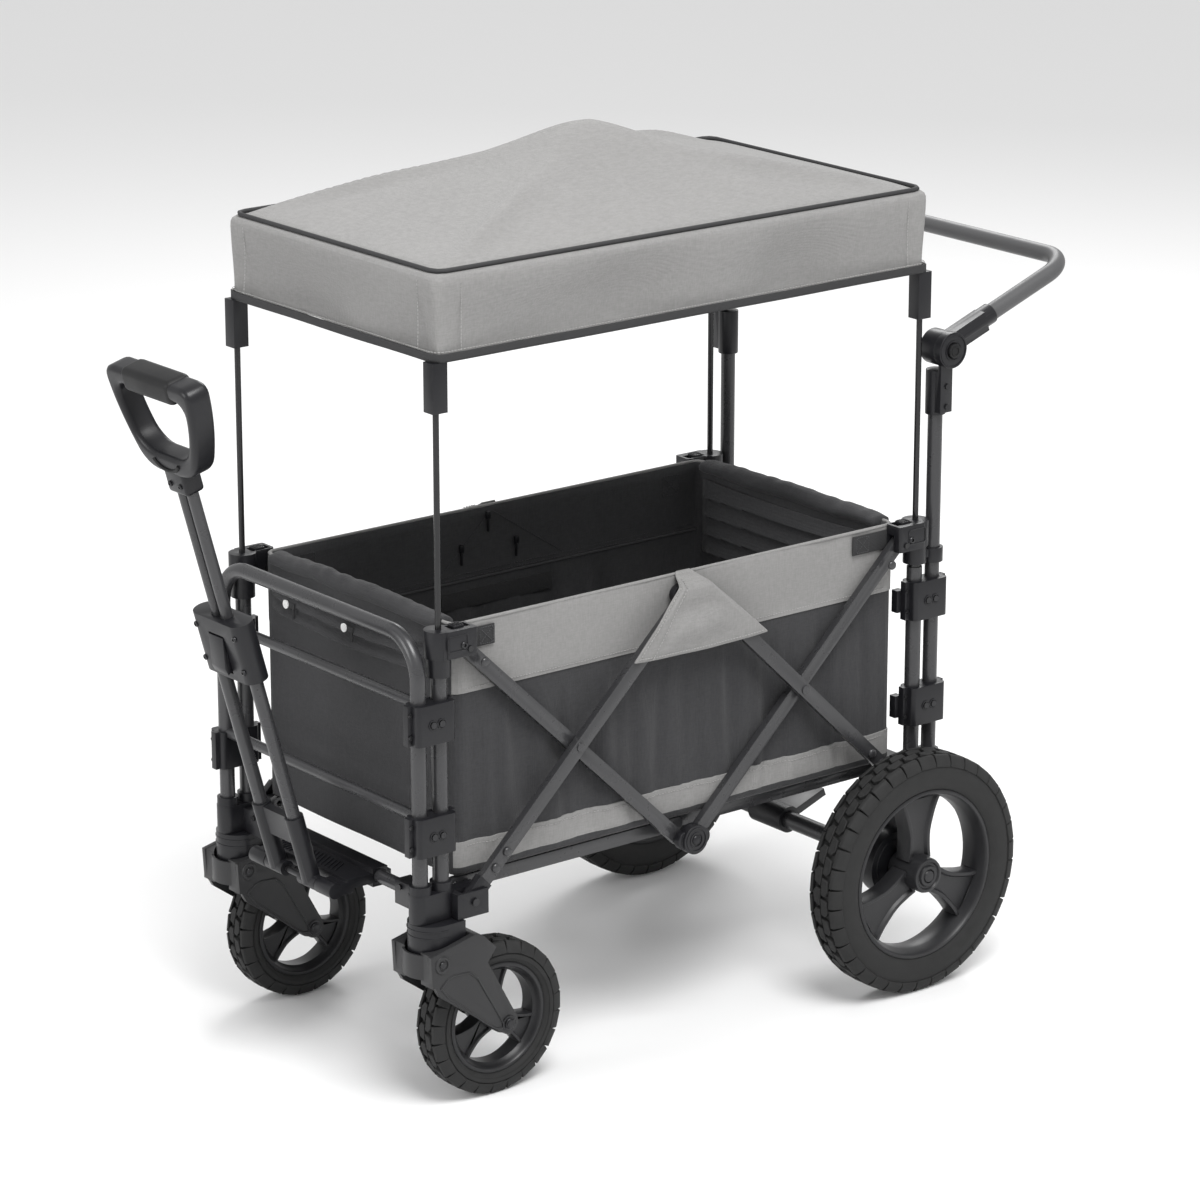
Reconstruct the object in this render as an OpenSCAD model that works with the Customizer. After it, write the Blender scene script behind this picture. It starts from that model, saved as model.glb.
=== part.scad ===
// Folding pull wagon with a four-post canopy, a telescopic draw handle in front
// and a tilting push bar behind.
//
// Frame: origin on the ground under the middle of the wagon, +Z up.
// The draw handle is at -X, the push bar at +X, and the wagon's left side is -Y.

/* [Frame posts] */
// Distance from the middle to the corner posts, along X
post_x = 357.5; // [350:0.5:365]
// Distance from the middle to the corner posts, along Y
post_y = 193.5; // [190:0.5:197]
// Spacing from a corner post to the outer tube beside it
tube_gap = 28.8; // [28:0.2:30]
// Outer diameter of a corner post
post_d = 19; // [18.5:0.1:19.2]
// Outer diameter of the front hoop and the push posts
hoop_d = 18; // [17.5:0.1:18.2]
// Height of the front hoop's top bar
hoop_top_z = 562; // [550:1:566]
// Centreline radius of the front hoop's corners
hoop_bend_r = 50; // [40:1:60]

/* [Side scissors] */
// Distance from the middle to the end pivots of the braces
pivot_x = 327; // [325:0.5:328]
// Height of the lower brace pivots
pivot_low_z = 245; // [243:0.5:246]
// Height of the upper brace pivots
pivot_high_z = 545; // [540:0.5:548]
// Width of a brace's flat-oval tube
brace_w = 17; // [15:0.5:17]
// Thickness of a brace's flat-oval tube
brace_t = 9; // [8:0.5:9]

/* [Wheels] */
// Diameter of the rear wheels
rear_wheel_d = 300; // [290:1:302]
// Width of the rear tyres
rear_tyre_w = 52; // [44:1:52]
// Diameter of the front wheels
front_wheel_d = 184.8; // [176:0.2:186]
// Width of the front tyres
front_tyre_w = 44; // [38:1:46]
// Distance from the middle to the rear axle, along X
rear_axle_x = 304.8; // [300:0.2:310]
// Distance from the middle to the front axles, along X
front_axle_x = 290.6; // [288:0.2:292]

/* [Handles] */
// Lean of the draw handle from upright
draw_lean = 15.5; // [14:0.5:18]
// Length of the draw handle from its pivot to the top of the grip
draw_len = 650; // [640:1:655]
// Rise of the push bar's arms above level
push_rise = 20; // [15:1:25]
// Length of a push-bar arm from its pivot to the outside of the bar
push_len = 236.73; // [230:0.01:245]
// Diameter of the push bar
push_bar_d = 21; // [19:0.5:22]

/* [Fabric] */
// Height of the basket's rim at the corners
basket_top_z = 566; // [555:1:568]
// Height of the underside of the basket
basket_low_z = 266; // [265:1:270]
// Half length of the canopy
canopy_x = 363; // [360:1:368]
// Half width of the canopy
canopy_y = 203; // [200:1:206]
// Height of the canopy's lower hem
canopy_hem_z = 876; // [870:1:880]
// Height of the canopy's upper edge
canopy_edge_z = 970; // [965:1:975]
// Height of the canopy's peak
canopy_peak_z = 1070; // [1050:1:1080]

/* [Hidden] */
$fn = 48;

post_r = post_d / 2;
hoop_r = hoop_d / 2;
outer_x = post_x + tube_gap;
hoop_wall = 1.2;
post_bore_r = post_r - 1.1;
slide_gap = 0.4;                 // clearance round the telescoping inner posts
post_foot_z = 236;               // lower ends of the posts and outer tubes
post_top_z = 514;
screw_r = 3.4;
screw_h = 2;

// side planes of the braces, measured outwards from the middle
in_layer = 191.5;                // inner face of the inner brace layer
out_layer = in_layer + brace_t + 2;
pin_r = 3.5;
pin_gap = 0.3;
hub_gap = 13;                    // from the middle to each pivot of a hub
cross_x = (pivot_x + hub_gap) / 2;
cross_z = (pivot_low_z + pivot_high_z) / 2;
brace_rise = atan2(pivot_high_z - pivot_low_z, pivot_x - hub_gap);
brace_len = norm([pivot_x - hub_gap, pivot_high_z - pivot_low_z]);

// front and rear clamps: lower and upper edges
front_clamp_z = [[309, 355], [441, 488]];
rung_z = [352.5, 487];            // rungs of the front hoop
rung_r = 6.2;
rear_clamp_z = [[311, 359], [445, 493]];
clamp_in_y = 183;
clamp_out_y = 210;

// bottom brackets
foot_low_z = 228;
foot_high_z = 262;
cross_bar_x = 362;
cross_bar_z = 245;
cross_bar_r = 8;

// casters
swivel_x = 372;
head_r = 27;
head_z = [181, 227.5];
susp_x = 384;
susp_z = 186;
front_wheel_r = front_wheel_d / 2;
rear_wheel_r = rear_wheel_d / 2;
fork_half_w = 38;
caster_pin_r = 6;
run_gap = 0.05;                  // running clearance of shafts and wheels
rear_wheel_y = 260;
rear_shaft_r = 8;

// draw handle
draw_pivot = [-424, 240];
latch_z = [268, 342];
lever_pivot = [-12.75, 51];       // from the front of the block and from its lower edge
lever_pin_r = 1.5;
neck_z = 500;
draw_tube_y = 33;
inner_tube_y = 9.5;
inner_tube_r = 7;

// push handle
push_pivot = [391, 777];
push_disc_r = 22;
strap_y = [206.5, 212];           // strap that carries the outer hinge disc
strap_low_z = 700;

// top corners
bracket_z = [537, 569];
ring_z = [512, 530];
rod_r = 3.6;
socket_z = 818;
socket_top_z = 952;
floor_t = 6;
wall_y = 186;
wall_t = 3;
panel_x = 336;

steel = [0.30, 0.30, 0.31];
nylon = [0.16, 0.16, 0.17];
cast = [0.22, 0.22, 0.23];
rubber = [0.20, 0.20, 0.20];
light_cloth = [0.58, 0.57, 0.56];
dark_cloth = [0.24, 0.24, 0.25];

// ---------- shared shapes ----------

// a shape on the left side and its mirror image on the right
module both_sides() {
    children();
    mirror([0, 1, 0]) children();
}

// a shape at one end of the wagon, turned to face the other way when it is the rear
module at_end(rear) {
    mirror([rear ? 1 : 0, 0, 0]) children();
}

// upright tube with its bore
module upright_tube(x, y, r, r_in, z_low, z_high) {
    translate([x, y, z_low]) difference() {
        cylinder(r = r, h = z_high - z_low);
        translate([0, 0, -1]) cylinder(r = r_in, h = z_high - z_low + 2);
    }
}

// round bar along Y
module bar_y(r, y_low, y_high) {
    translate([0, y_low, 0]) rotate([-90, 0, 0]) cylinder(r = r, h = y_high - y_low);
}

// rectangle with round corners, from its lowest and highest corners
module round_rect(low, high, r) {
    translate([low[0] + r, low[1]]) square([high[0] - low[0] - 2 * r, high[1] - low[1]]);
    translate([low[0], low[1] + r]) square([high[0] - low[0], high[1] - low[1] - 2 * r]);
    for (x = [low[0] + r, high[0] - r], y = [low[1] + r, high[1] - r])
        translate([x, y]) circle(r = r);
}

// block from its lowest and highest corners
module block(low, high) {
    translate(low) cube(high - low);
}

// an outline in X and Z, as thick as the two Y values say
module side_plate(y_low, y_high) {
    translate([0, y_high, 0]) rotate([90, 0, 0]) linear_extrude(y_high - y_low) children();
}

// ---------- front end ----------

module front_posts() {
    color(steel) both_sides()
        upright_tube(-post_x, -post_y, post_r, post_bore_r, post_foot_z, post_top_z);
}

// quarter bend of the front hoop
module hoop_bend() {
    translate([-outer_x, -(post_y - hoop_bend_r), hoop_top_z - hoop_bend_r])
        rotate([90, 0, 90]) rotate([0, 0, 90]) rotate_extrude(angle = 90)
            translate([hoop_bend_r, 0]) difference() {
                circle(r = hoop_r);
                circle(r = hoop_r - hoop_wall);
            }
}

module front_frame() {
    straight_z = hoop_top_z - hoop_bend_r;
    top_half = post_y - hoop_bend_r;
    color(steel) {
        difference() {
            union() {
                both_sides() {
                    translate([-outer_x, -post_y, post_foot_z])
                        cylinder(r = hoop_r, h = straight_z - post_foot_z);
                }
                for (z = rung_z) translate([-outer_x, 0, z]) bar_y(rung_r, -post_y, post_y);
            }
            both_sides() translate([-outer_x, -post_y, post_foot_z - 1])
                cylinder(r = hoop_r - hoop_wall, h = straight_z - post_foot_z + 2);
        }
        both_sides() hoop_bend();
        translate([-outer_x, 0, hoop_top_z]) difference() {
            bar_y(hoop_r, -top_half, top_half);
            bar_y(hoop_r - hoop_wall, -top_half - 1, top_half + 1);
        }
        translate([-cross_bar_x, 0, cross_bar_z]) difference() {
            bar_y(cross_bar_r, -170, 170);
            bar_y(cross_bar_r - 1.2, -171, 171);
        }
    }
}

// half-shell clamp round a post and the tube beside it
module clamp(z_low, z_high) {
    translate([0, 0, z_low]) linear_extrude(z_high - z_low) difference() {
        union() {
            round_rect([-outer_x - 12.7, -clamp_out_y], [-post_x + 12.5, -clamp_in_y], 6);
            translate([-outer_x - 18, -post_y - 5]) square([tube_gap + 36, 9]);
        }
        translate([-post_x, -post_y]) circle(r = post_r);
        translate([-outer_x, -post_y]) circle(r = hoop_r);
    }
}

// lug from a rear clamp to the corner of the basket
module clamp_lug(z_low, z_high) {
    block([-post_x + 12.5, -post_y + 4.2, z_low + 8],
        [-post_x + 23, -clamp_in_y + 4, z_high - 12]);
}

module front_clamps() {
    color(nylon) both_sides() difference() {
        for (z = front_clamp_z) clamp(z[0], z[1]);
        // notches round the ends of the rungs
        for (z = rung_z) translate([-outer_x, 0, z])
            bar_y(rung_r + 0.4, -post_y, -clamp_in_y + 1);
    }
}

// corner foot that holds the post, the outer tube and the lower brace pivot
module bottom_bracket() {
    difference() {
        union() {
            translate([0, 0, foot_low_z]) linear_extrude(foot_high_z - foot_low_z)
                round_rect([-outer_x - 13, -post_y - 13], [-post_x + 13, -post_y + 13], 12);
            for (x = [-post_x, -outer_x]) translate([x, -post_y, foot_high_z - 1])
                cylinder(r = 12.8, h = 11);
            // cheeks on both sides of the brace foot
            block([-post_x + 6, -post_y - 24, foot_low_z], [-308, -post_y - 19.6, foot_high_z - 4]);
            block([-post_x + 6, -post_y - 6.5, foot_low_z], [-308, -post_y + 11, foot_high_z - 4]);
            block([-post_x + 6, -post_y - 24, foot_low_z], [-post_x + 15, -post_y + 11, foot_high_z - 4]);
            block([-post_x + 6, -post_y - 24, foot_low_z], [-308, -post_y + 11, foot_low_z + 4]);
            // arm that grips the cross bar
            block([-cross_bar_x - 11, -post_y + 12, foot_low_z], [-cross_bar_x + 11, -126, 257]);
        }
        for (x = [-post_x, -outer_x])
            translate([x, -post_y, post_foot_z])
                cylinder(r = x == -post_x ? post_r : hoop_r, h = 60);
        translate([-cross_bar_x, 0, cross_bar_z]) bar_y(cross_bar_r, -170, -100);
        translate([-pivot_x, 0, pivot_low_z]) bar_y(pin_r, -post_y - 30, -post_y + 20);
    }
}

module front_bottom_brackets() {
    color(nylon) both_sides() difference() {
        bottom_bracket();
        translate([-swivel_x, -post_y, foot_low_z - 1]) cylinder(r = caster_pin_r, h = 8);
    }
}

module footplate() {
    color(nylon) difference() {
        union() {
            block([-408, -81.5, 238], [-346, 81.5, 250]);
            block([-372, -81.5, 233], [-351, 81.5, 255.5]);
            both_sides() {
                translate([draw_pivot[0], 0, draw_pivot[1]]) bar_y(9.5, -81.5, -51);
                block([draw_pivot[0], -81.5, 233], [-400, -51, 247]);
            }
        }
        translate([-cross_bar_x, 0, cross_bar_z]) bar_y(cross_bar_r, -90, 90);
        translate([draw_pivot[0], 0, draw_pivot[1]]) bar_y(4, -78, 78);
    }
}

// round screw heads on the outer face of a clamp
module clamp_screws(z) {
    mid = (z[0] + z[1]) / 2;
    for (x = [-post_x - 8.4, -outer_x + 8.4]) translate([x, 0, mid])
        bar_y(screw_r + 0.4, -clamp_out_y - screw_h, -clamp_out_y);
    for (x = [-outer_x - 15.3, -post_x + 15.3], dz = [-13, 13]) translate([x, 0, mid + dz])
        bar_y(2.5, -post_y - 5 - screw_h, -post_y - 5);
}

// bolts of a bottom bracket: the brace pivot and the ones that grip the cross bar
module bracket_bolts() {
    translate([-pivot_x, 0, pivot_low_z]) {
        bar_y(pin_r, -post_y - 24, -post_y + 11);
        bar_y(screw_r + 1.2, -post_y - 26.5, -post_y - 24);
    }
    for (y = [-159, -136]) translate([-cross_bar_x - 11 - screw_h, y, 250])
        rotate([0, 90, 0]) cylinder(r = screw_r, h = screw_h);
}

module front_fasteners() {
    color(steel) {
        both_sides() {
            for (z = front_clamp_z) clamp_screws(z);
            bracket_bolts();
            // king pin that the caster head swivels on
            translate([-swivel_x, -post_y, 198]) cylinder(r = caster_pin_r, h = foot_low_z + 6 - 198);
        }
        translate([draw_pivot[0], 0, draw_pivot[1]]) bar_y(4, -77, 77);
    }
}

// ---------- casters ----------

// caster pieces are drawn on the left and mirrored for the right
module on_side(right) {
    mirror([0, right ? 1 : 0, 0]) children();
}

module head_outline(grow) {
    translate([-swivel_x, -post_y]) {
        circle(r = head_r + grow);
        translate([0, -head_r - grow]) square([head_r + 2 + grow, 2 * (head_r + grow)]);
    }
}

module caster_head() {
    difference() {
        translate([0, 0, head_z[0]]) linear_extrude(head_z[1] - head_z[0]) head_outline(0);
        translate([-swivel_x, -post_y, 197.5]) cylinder(r = caster_pin_r + run_gap, h = 40);
        translate([-susp_x, 0, susp_z]) bar_y(4 + run_gap, -post_y - 40, -post_y + 40);
    }
}

module left_caster_head() { color(cast) on_side(false) caster_head(); }
module right_caster_head() { color(cast) on_side(true) caster_head(); }

// side view of a fork cheek
module cheek_outline() {
    polygon([[-400, 198], [-338, 212], [-326, 208], [-308, 190], [-320, 174], [-278, 97],
        [-front_axle_x, front_wheel_r], [-298.5, 82], [-388, 148], [-398, 166]]);
    translate([-front_axle_x, front_wheel_r]) circle(r = 13);
}

// side view of the crown over the tyre
module crown_outline() {
    polygon([[-398, 198], [-338, 212], [-326, 208], [-308, 190], [-320, 174], [-330, 160],
        [-398, 160]]);
}

module fork() {
    difference() {
        union() {
            for (s = [-1, 1]) {
                mid = -post_y + s * (fork_half_w - 3);
                side_plate(mid - 3, mid + 3) cheek_outline();
            }
            side_plate(-post_y - fork_half_w, -post_y + fork_half_w) crown_outline();
            translate([-swivel_x, -post_y, 166]) cylinder(r = head_r + 6, h = 29);
        }
        // room for the head and for the tyre
        translate([0, 0, 150]) linear_extrude(80) head_outline(3.2);
        translate([-front_axle_x, 0, front_wheel_r])
            bar_y(front_wheel_r + 4.6, -post_y - fork_half_w + 6, -post_y + fork_half_w - 6);
        translate([-front_axle_x, 0, front_wheel_r]) bar_y(caster_pin_r, -post_y - 50, -post_y + 50);
        translate([-susp_x, 0, susp_z]) bar_y(4, -post_y - 50, -post_y + 50);
    }
}

module left_fork() { color(cast) on_side(false) fork(); }
module right_fork() { color(cast) on_side(true) fork(); }

module caster_bolts() {
    translate([-front_axle_x, 0, front_wheel_r]) {
        bar_y(caster_pin_r, -post_y - fork_half_w, -post_y + fork_half_w);
        for (s = [-1, 1]) bar_y(7, -post_y + s * fork_half_w + min(0, 4 * s),
            -post_y + s * fork_half_w + max(0, 4 * s));
    }
    translate([-susp_x, 0, susp_z]) for (s = [-1, 1]) {
        in_y = -post_y + s * (head_r - 8);
        out_y = -post_y + s * (fork_half_w + 1.5);
        bar_y(4, min(in_y, out_y), max(in_y, out_y));
    }
}

module left_caster_bolts() { color(steel) on_side(false) caster_bolts(); }
module right_caster_bolts() { color(steel) on_side(true) caster_bolts(); }

// tyre centred on its axle, along Y
module tyre(r, r_in, w) {
    crown = w * 0.30;
    rotate([90, 0, 0]) rotate_extrude($fn = 96) polygon([[r_in, -w / 2 + 3], [r_in + 8, -w / 2],
        [r - 17, -w / 2], [r - 5, -w / 2 + 5], [r, -crown], [r, crown], [r - 5, w / 2 - 5],
        [r - 17, w / 2], [r_in + 8, w / 2], [r_in, w / 2 - 3]]);
}

// three-spoke rim with its hub and bore, along Y
module rim(r, w, hub_r, hub_w, bore_r, spoke_w, first_spoke) {
    wall = 7;
    difference() {
        union() {
            rotate([90, 0, 0]) difference() {
                cylinder(r = r, h = w, center = true, $fn = 96);
                cylinder(r = r - wall, h = w + 2, center = true, $fn = 96);
            }
            rotate([90, 0, 0]) cylinder(r = hub_r, h = hub_w, center = true);
            for (a = [0, 120, 240]) rotate([0, -first_spoke - a, 0])
                block([hub_r - 3, -w * 0.25, -spoke_w / 2], [r - wall + 2, w * 0.25, spoke_w / 2]);
        }
        rotate([90, 0, 0]) cylinder(r = bore_r, h = hub_w + 2, center = true);
    }
}

module caster_tyre() {
    translate([-front_axle_x, -post_y, front_wheel_r]) tyre(front_wheel_r, 66, front_tyre_w);
}

module caster_rim() {
    translate([-front_axle_x, -post_y, front_wheel_r])
        rim(66, front_tyre_w - 6, 15, 2 * (fork_half_w - 7), caster_pin_r + run_gap, 22, 100);
}

module left_caster_tyre() { color(rubber) on_side(false) caster_tyre(); }
module right_caster_tyre() { color(rubber) on_side(true) caster_tyre(); }
module left_caster_rim() { color(cast) on_side(false) caster_rim(); }
module right_caster_rim() { color(cast) on_side(true) caster_rim(); }

// ---------- rear end ----------

module rear_posts() {
    color(steel) at_end(true) both_sides()
        upright_tube(-post_x, -post_y, post_r, post_bore_r, post_foot_z, post_top_z - 4);
}

module push_posts() {
    color(steel) both_sides()
        upright_tube(outer_x, -post_y, hoop_r, hoop_r - hoop_wall, post_foot_z, 750);
}

module rear_clamps() {
    color(nylon) at_end(true) both_sides() for (z = rear_clamp_z) {
        clamp(z[0], z[1]);
        clamp_lug(z[0], z[1]);
    }
}

// strut from a rear foot down to the axle tube
module axle_strut() {
    side_plate(-post_y - 6, -post_y + 6) polygon([[366, foot_low_z + 1], [322, foot_low_z + 1],
        [rear_axle_x - 16, 158], [rear_axle_x - 10, 136], [rear_axle_x + 14, 138]]);
    translate([rear_axle_x, 0, rear_wheel_r]) bar_y(17, -post_y - 6, -post_y + 6);
}

module rear_bottom_brackets() {
    color(nylon) both_sides() {
        difference() {
            union() {
                at_end(true) bottom_bracket();
                axle_strut();
            }
            translate([rear_axle_x, 0, rear_wheel_r]) bar_y(11, -post_y - 20, -post_y + 20);
        }
    }
}

module rear_cross_tubes() {
    color(steel) {
        translate([rear_axle_x, 0, rear_wheel_r]) {
            difference() {
                bar_y(11, -207, 207);
                bar_y(rear_shaft_r, -208, 208);
            }
            bar_y(rear_shaft_r, -283, 283);
        }
        translate([cross_bar_x, 0, cross_bar_z]) difference() {
            bar_y(cross_bar_r, -170, 170);
            bar_y(cross_bar_r - 1.2, -171, 171);
        }
    }
}

module brake_drums() {
    color(nylon) both_sides() translate([rear_axle_x, 0, rear_wheel_r]) difference() {
        union() {
            bar_y(42, -232, -209);
            bar_y(34, -233, -232);
        }
        bar_y(rear_shaft_r, -240, -200);
    }
}

module rear_fasteners() {
    color(steel) at_end(true) both_sides() {
        for (z = rear_clamp_z) clamp_screws(z);
        bracket_bolts();
    }
    color(steel) both_sides() for (z = [strap_low_z + 7, strap_low_z + 32])
        translate([outer_x + 1, 0, z]) bar_y(screw_r, -strap_y[1] - screw_h, -strap_y[1]);
}

module push_hinge_bases() {
    top_z = push_pivot[1] - push_disc_r - 4;
    color(nylon) both_sides() difference() {
        union() {
            translate([outer_x, -post_y, strap_low_z - 4])
                cylinder(r = 12.5, h = top_z - strap_low_z + 4);
            // outer cheek: a strap that ends in the hub disc
            translate([push_pivot[0], 0, push_pivot[1]]) bar_y(push_disc_r, -218, -strap_y[0]);
            block([outer_x - 9, -strap_y[1], strap_low_z], [outer_x + 10, -strap_y[0], 771]);
            block([outer_x - 9, -strap_y[0] - 1, strap_low_z], [outer_x + 10, -200, top_z]);
        }
        translate([outer_x, -post_y, 680]) cylinder(r = hoop_r, h = 70);
        translate([push_pivot[0], 0, push_pivot[1]]) {
            bar_y(9.4, -220, -211.5);
            bar_y(5, -212, -200);
        }
    }
}

module rear_tyre() {
    translate([rear_axle_x, -rear_wheel_y, rear_wheel_r]) tyre(rear_wheel_r, 106, rear_tyre_w);
}

module rear_rim() {
    translate([rear_axle_x, -rear_wheel_y, rear_wheel_r]) {
        rim(106, rear_tyre_w - 6, 22, 48, rear_shaft_r + run_gap, 30, 95);
        // hub cap, pressed on the outer face of the hub
        bar_y(21, -30, -24);
    }
}

module left_rear_tyre() { color(rubber) on_side(false) rear_tyre(); }
module right_rear_tyre() { color(rubber) on_side(true) rear_tyre(); }
module left_rear_rim() { color(cast) on_side(false) rear_rim(); }
module right_rear_rim() { color(cast) on_side(true) rear_rim(); }

// foot pedal that turns on the axle tube and sets both brakes
module brake_pedal() {
    color(nylon) translate([rear_axle_x, 0, rear_wheel_r]) difference() {
        union() {
            bar_y(17, -30, 30);
            rotate([0, -20, 0]) block([10, -26, -5], [66, 26, 5]);
        }
        bar_y(11 + run_gap, -31, 31);
    }
}

// ---------- side scissors ----------

// flat-oval tube with round ends, along X from its first pivot, holes at the given places
module brace(holes) {
    difference() {
        side_plate(-brace_t, 0) difference() {
            union() {
                translate([0, -brace_w / 2]) square([brace_len, brace_w]);
                for (x = [0, brace_len]) translate([x, 0]) circle(r = brace_w / 2);
            }
            for (h = holes) translate([h[0], 0]) circle(r = h[1]);
        }
        // the hollow of the tube, between the pivots
        block([14, -brace_t + 1.4, -brace_w / 2 + 1.6], [brace_len / 2 - 14, -1.4, brace_w / 2 - 1.6]);
        block([brace_len / 2 + 14, -brace_t + 1.4, -brace_w / 2 + 1.6],
            [brace_len - 14, -1.4, brace_w / 2 - 1.6]);
    }
}

// pivot pin or rivet along Y with a low head on its outer end
module rivet(r, y_in, y_out) {
    bar_y(r, -y_out, -y_in);
    bar_y(r + 2, -y_out - 2, -y_out);
}

// a brace on the left side: layer is its inner face, start is the pivot it turns on
module place_brace(start, layer, angle) {
    translate([start[0], -layer, start[1]]) rotate([0, -angle, 0]) children();
}

fixed_hole = pin_r;
loose_hole = pin_r + pin_gap;
cross_pin_y = out_layer + brace_t;

// pivot pin through both layers, with no head
module flush_pin(x, z) {
    translate([x, 0, z]) bar_y(pin_r, -cross_pin_y, -in_layer);
}

// the two outer braces of each side: each has the crossing pin and its own hub pin
module outer_braces() {
    both_sides() {
        place_brace([-pivot_x, pivot_low_z], out_layer, brace_rise)
            brace([[0, loose_hole], [brace_len / 2, fixed_hole], [brace_len, fixed_hole]]);
        translate([-cross_x, 0, cross_z]) rivet(pin_r, in_layer, cross_pin_y);
        flush_pin(-hub_gap, pivot_high_z);
        // tube rivets above the foot
        for (s = [46, 69]) translate([-pivot_x + s * cos(brace_rise), 0,
            pivot_low_z + s * sin(brace_rise)]) bar_y(4.6, -cross_pin_y - 2, -cross_pin_y);
    }
}

// the two inner braces of each side
module inner_braces() {
    both_sides() {
        place_brace([-pivot_x, pivot_high_z], in_layer, -brace_rise)
            brace([[0, loose_hole], [brace_len / 2, loose_hole], [brace_len, fixed_hole]]);
        flush_pin(-hub_gap, pivot_low_z);
    }
}

module front_lower_braces() { color(steel) outer_braces(); }
module front_upper_braces() { color(steel) inner_braces(); }
module rear_lower_braces() { color(steel) at_end(true) outer_braces(); }
module rear_upper_braces() { color(steel) at_end(true) inner_braces(); }

// plastic sleeve on the lower end of a brace
module brace_foot(t) {
    difference() {
        side_plate(-t - 0.5, 0.5) union() {
            translate([0, -10.5]) square([28, 21]);
            circle(r = 10.5);
        }
        side_plate(-t, 0) union() {
            translate([0, -brace_w / 2]) square([40, brace_w]);
            circle(r = brace_w / 2);
        }
        bar_y(loose_hole, -t - 2, 2);
    }
}

module front_brace_feet() {
    color(nylon) both_sides()
        place_brace([-pivot_x, pivot_low_z], out_layer, brace_rise) brace_foot(brace_t);
}

module rear_brace_feet() {
    color(nylon) at_end(true) both_sides()
        place_brace([-pivot_x, pivot_low_z], out_layer, brace_rise) brace_foot(brace_t);
}

// plate that carries the two upper middle pivots, behind the outer braces
module upper_hubs() {
    color(nylon) both_sides() translate([0, 0, pivot_high_z])
        side_plate(-in_layer - brace_t, -in_layer) difference() {
            union() {
                for (x = [-hub_gap, hub_gap]) translate([x, 0]) circle(r = 11);
                translate([-hub_gap, -11]) square([2 * hub_gap, 22]);
            }
            for (x = [-hub_gap, hub_gap]) translate([x, 0]) circle(r = loose_hole);
        }
}

// round plate over the two lower middle pivots, in front of the inner braces
module lower_hubs() {
    color(nylon) both_sides() translate([0, 0, pivot_low_z]) difference() {
        union() {
            bar_y(18, -cross_pin_y - 4, -out_layer);
            for (x = [-hub_gap, hub_gap]) translate([x, 0, 0]) bar_y(11, -cross_pin_y, -out_layer);
        }
        translate([-hub_gap, 0, 0]) bar_y(loose_hole, -cross_pin_y - 0.3, 0);
        translate([hub_gap, 0, 0]) bar_y(pin_r + 0.8, -cross_pin_y - 0.3, 0);
    }
}

// floor rail from its pivot to the middle; the two ends lap side by side
module floor_rail(y_in) {
    side_plate(-y_in - 8, -y_in) difference() {
        union() {
            translate([-pivot_x, 255 - 8]) square([pivot_x, 16]);
            for (x = [-pivot_x, 0]) translate([x, 255]) circle(r = 8);
        }
        translate([-pivot_x, 255]) circle(r = 3.5);
    }
}

module front_floor_rails() {
    color(steel) both_sides() floor_rail(172);
}

module rear_floor_rails() {
    color(steel) at_end(true) both_sides() floor_rail(163);
}

// ---------- top corners ----------

// corner block that slides up on its post, with the brace slot under it
module top_bracket() {
    difference() {
        union() {
            translate([0, 0, bracket_z[0]]) linear_extrude(bracket_z[1] - bracket_z[0]) union() {
                translate([-post_x, -post_y]) circle(r = 16.5);
                round_rect([-post_x, -post_y - 19], [-316, -post_y + 6.5], 3);
                translate([-post_x - 5, -post_y - 16.5]) square([20, 23]);
            }
            translate([-post_x, -post_y, post_top_z + 1])
                cylinder(r = 14.5, h = bracket_z[0] - post_top_z);
        }
        // brace slot, open below and towards the middle
        block([-342, -in_layer - brace_t - 1, bracket_z[0] - 1], [-310, -in_layer + 1, 557]);
        translate([-post_x, -post_y, 400]) cylinder(r = post_r - 1.5, h = 155);
        translate([-post_x, -post_y, 560]) cylinder(r = rod_r, h = 30);
        translate([-pivot_x, 0, pivot_high_z]) bar_y(pin_r, -post_y - 19, -post_y + 15);
        // track of the sliding latch
        block([-346, -203, 566], [-320, -189, 570]);
    }
}

// square socket between a canopy rod and the canopy's corner
module rod_socket() {
    difference() {
        union() {
            block([-post_x - 2, -post_y - 6, socket_z], [-post_x + 10, -post_y + 9, socket_top_z]);
            block([-post_x - 10, -post_y - 9, socket_z],
                [-post_x + 10, -post_y + 9, canopy_hem_z - 1]);
        }
        translate([-post_x, -post_y, socket_z - 1]) cylinder(r = rod_r, h = 41);
    }
}

module front_top_brackets() {
    color(nylon) both_sides() {
        top_bracket();
        rod_socket();
    }
}

module rear_top_brackets() {
    color(nylon) at_end(true) both_sides() {
        top_bracket();
        rod_socket();
        // guide ring that slides on the push post
        difference() {
            union() {
                translate([-outer_x, -post_y, ring_z[0]])
                    cylinder(r = 13, h = ring_z[1] - ring_z[0]);
                block([-outer_x, -post_y - 6, 519], [-post_x - 10, -post_y + 6, 529]);
            }
            translate([-outer_x, -post_y, 500]) cylinder(r = hoop_r + slide_gap, h = 40);
            translate([-post_x, -post_y, 500]) cylinder(r = 14.5, h = 60);
        }
    }
}

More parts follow.
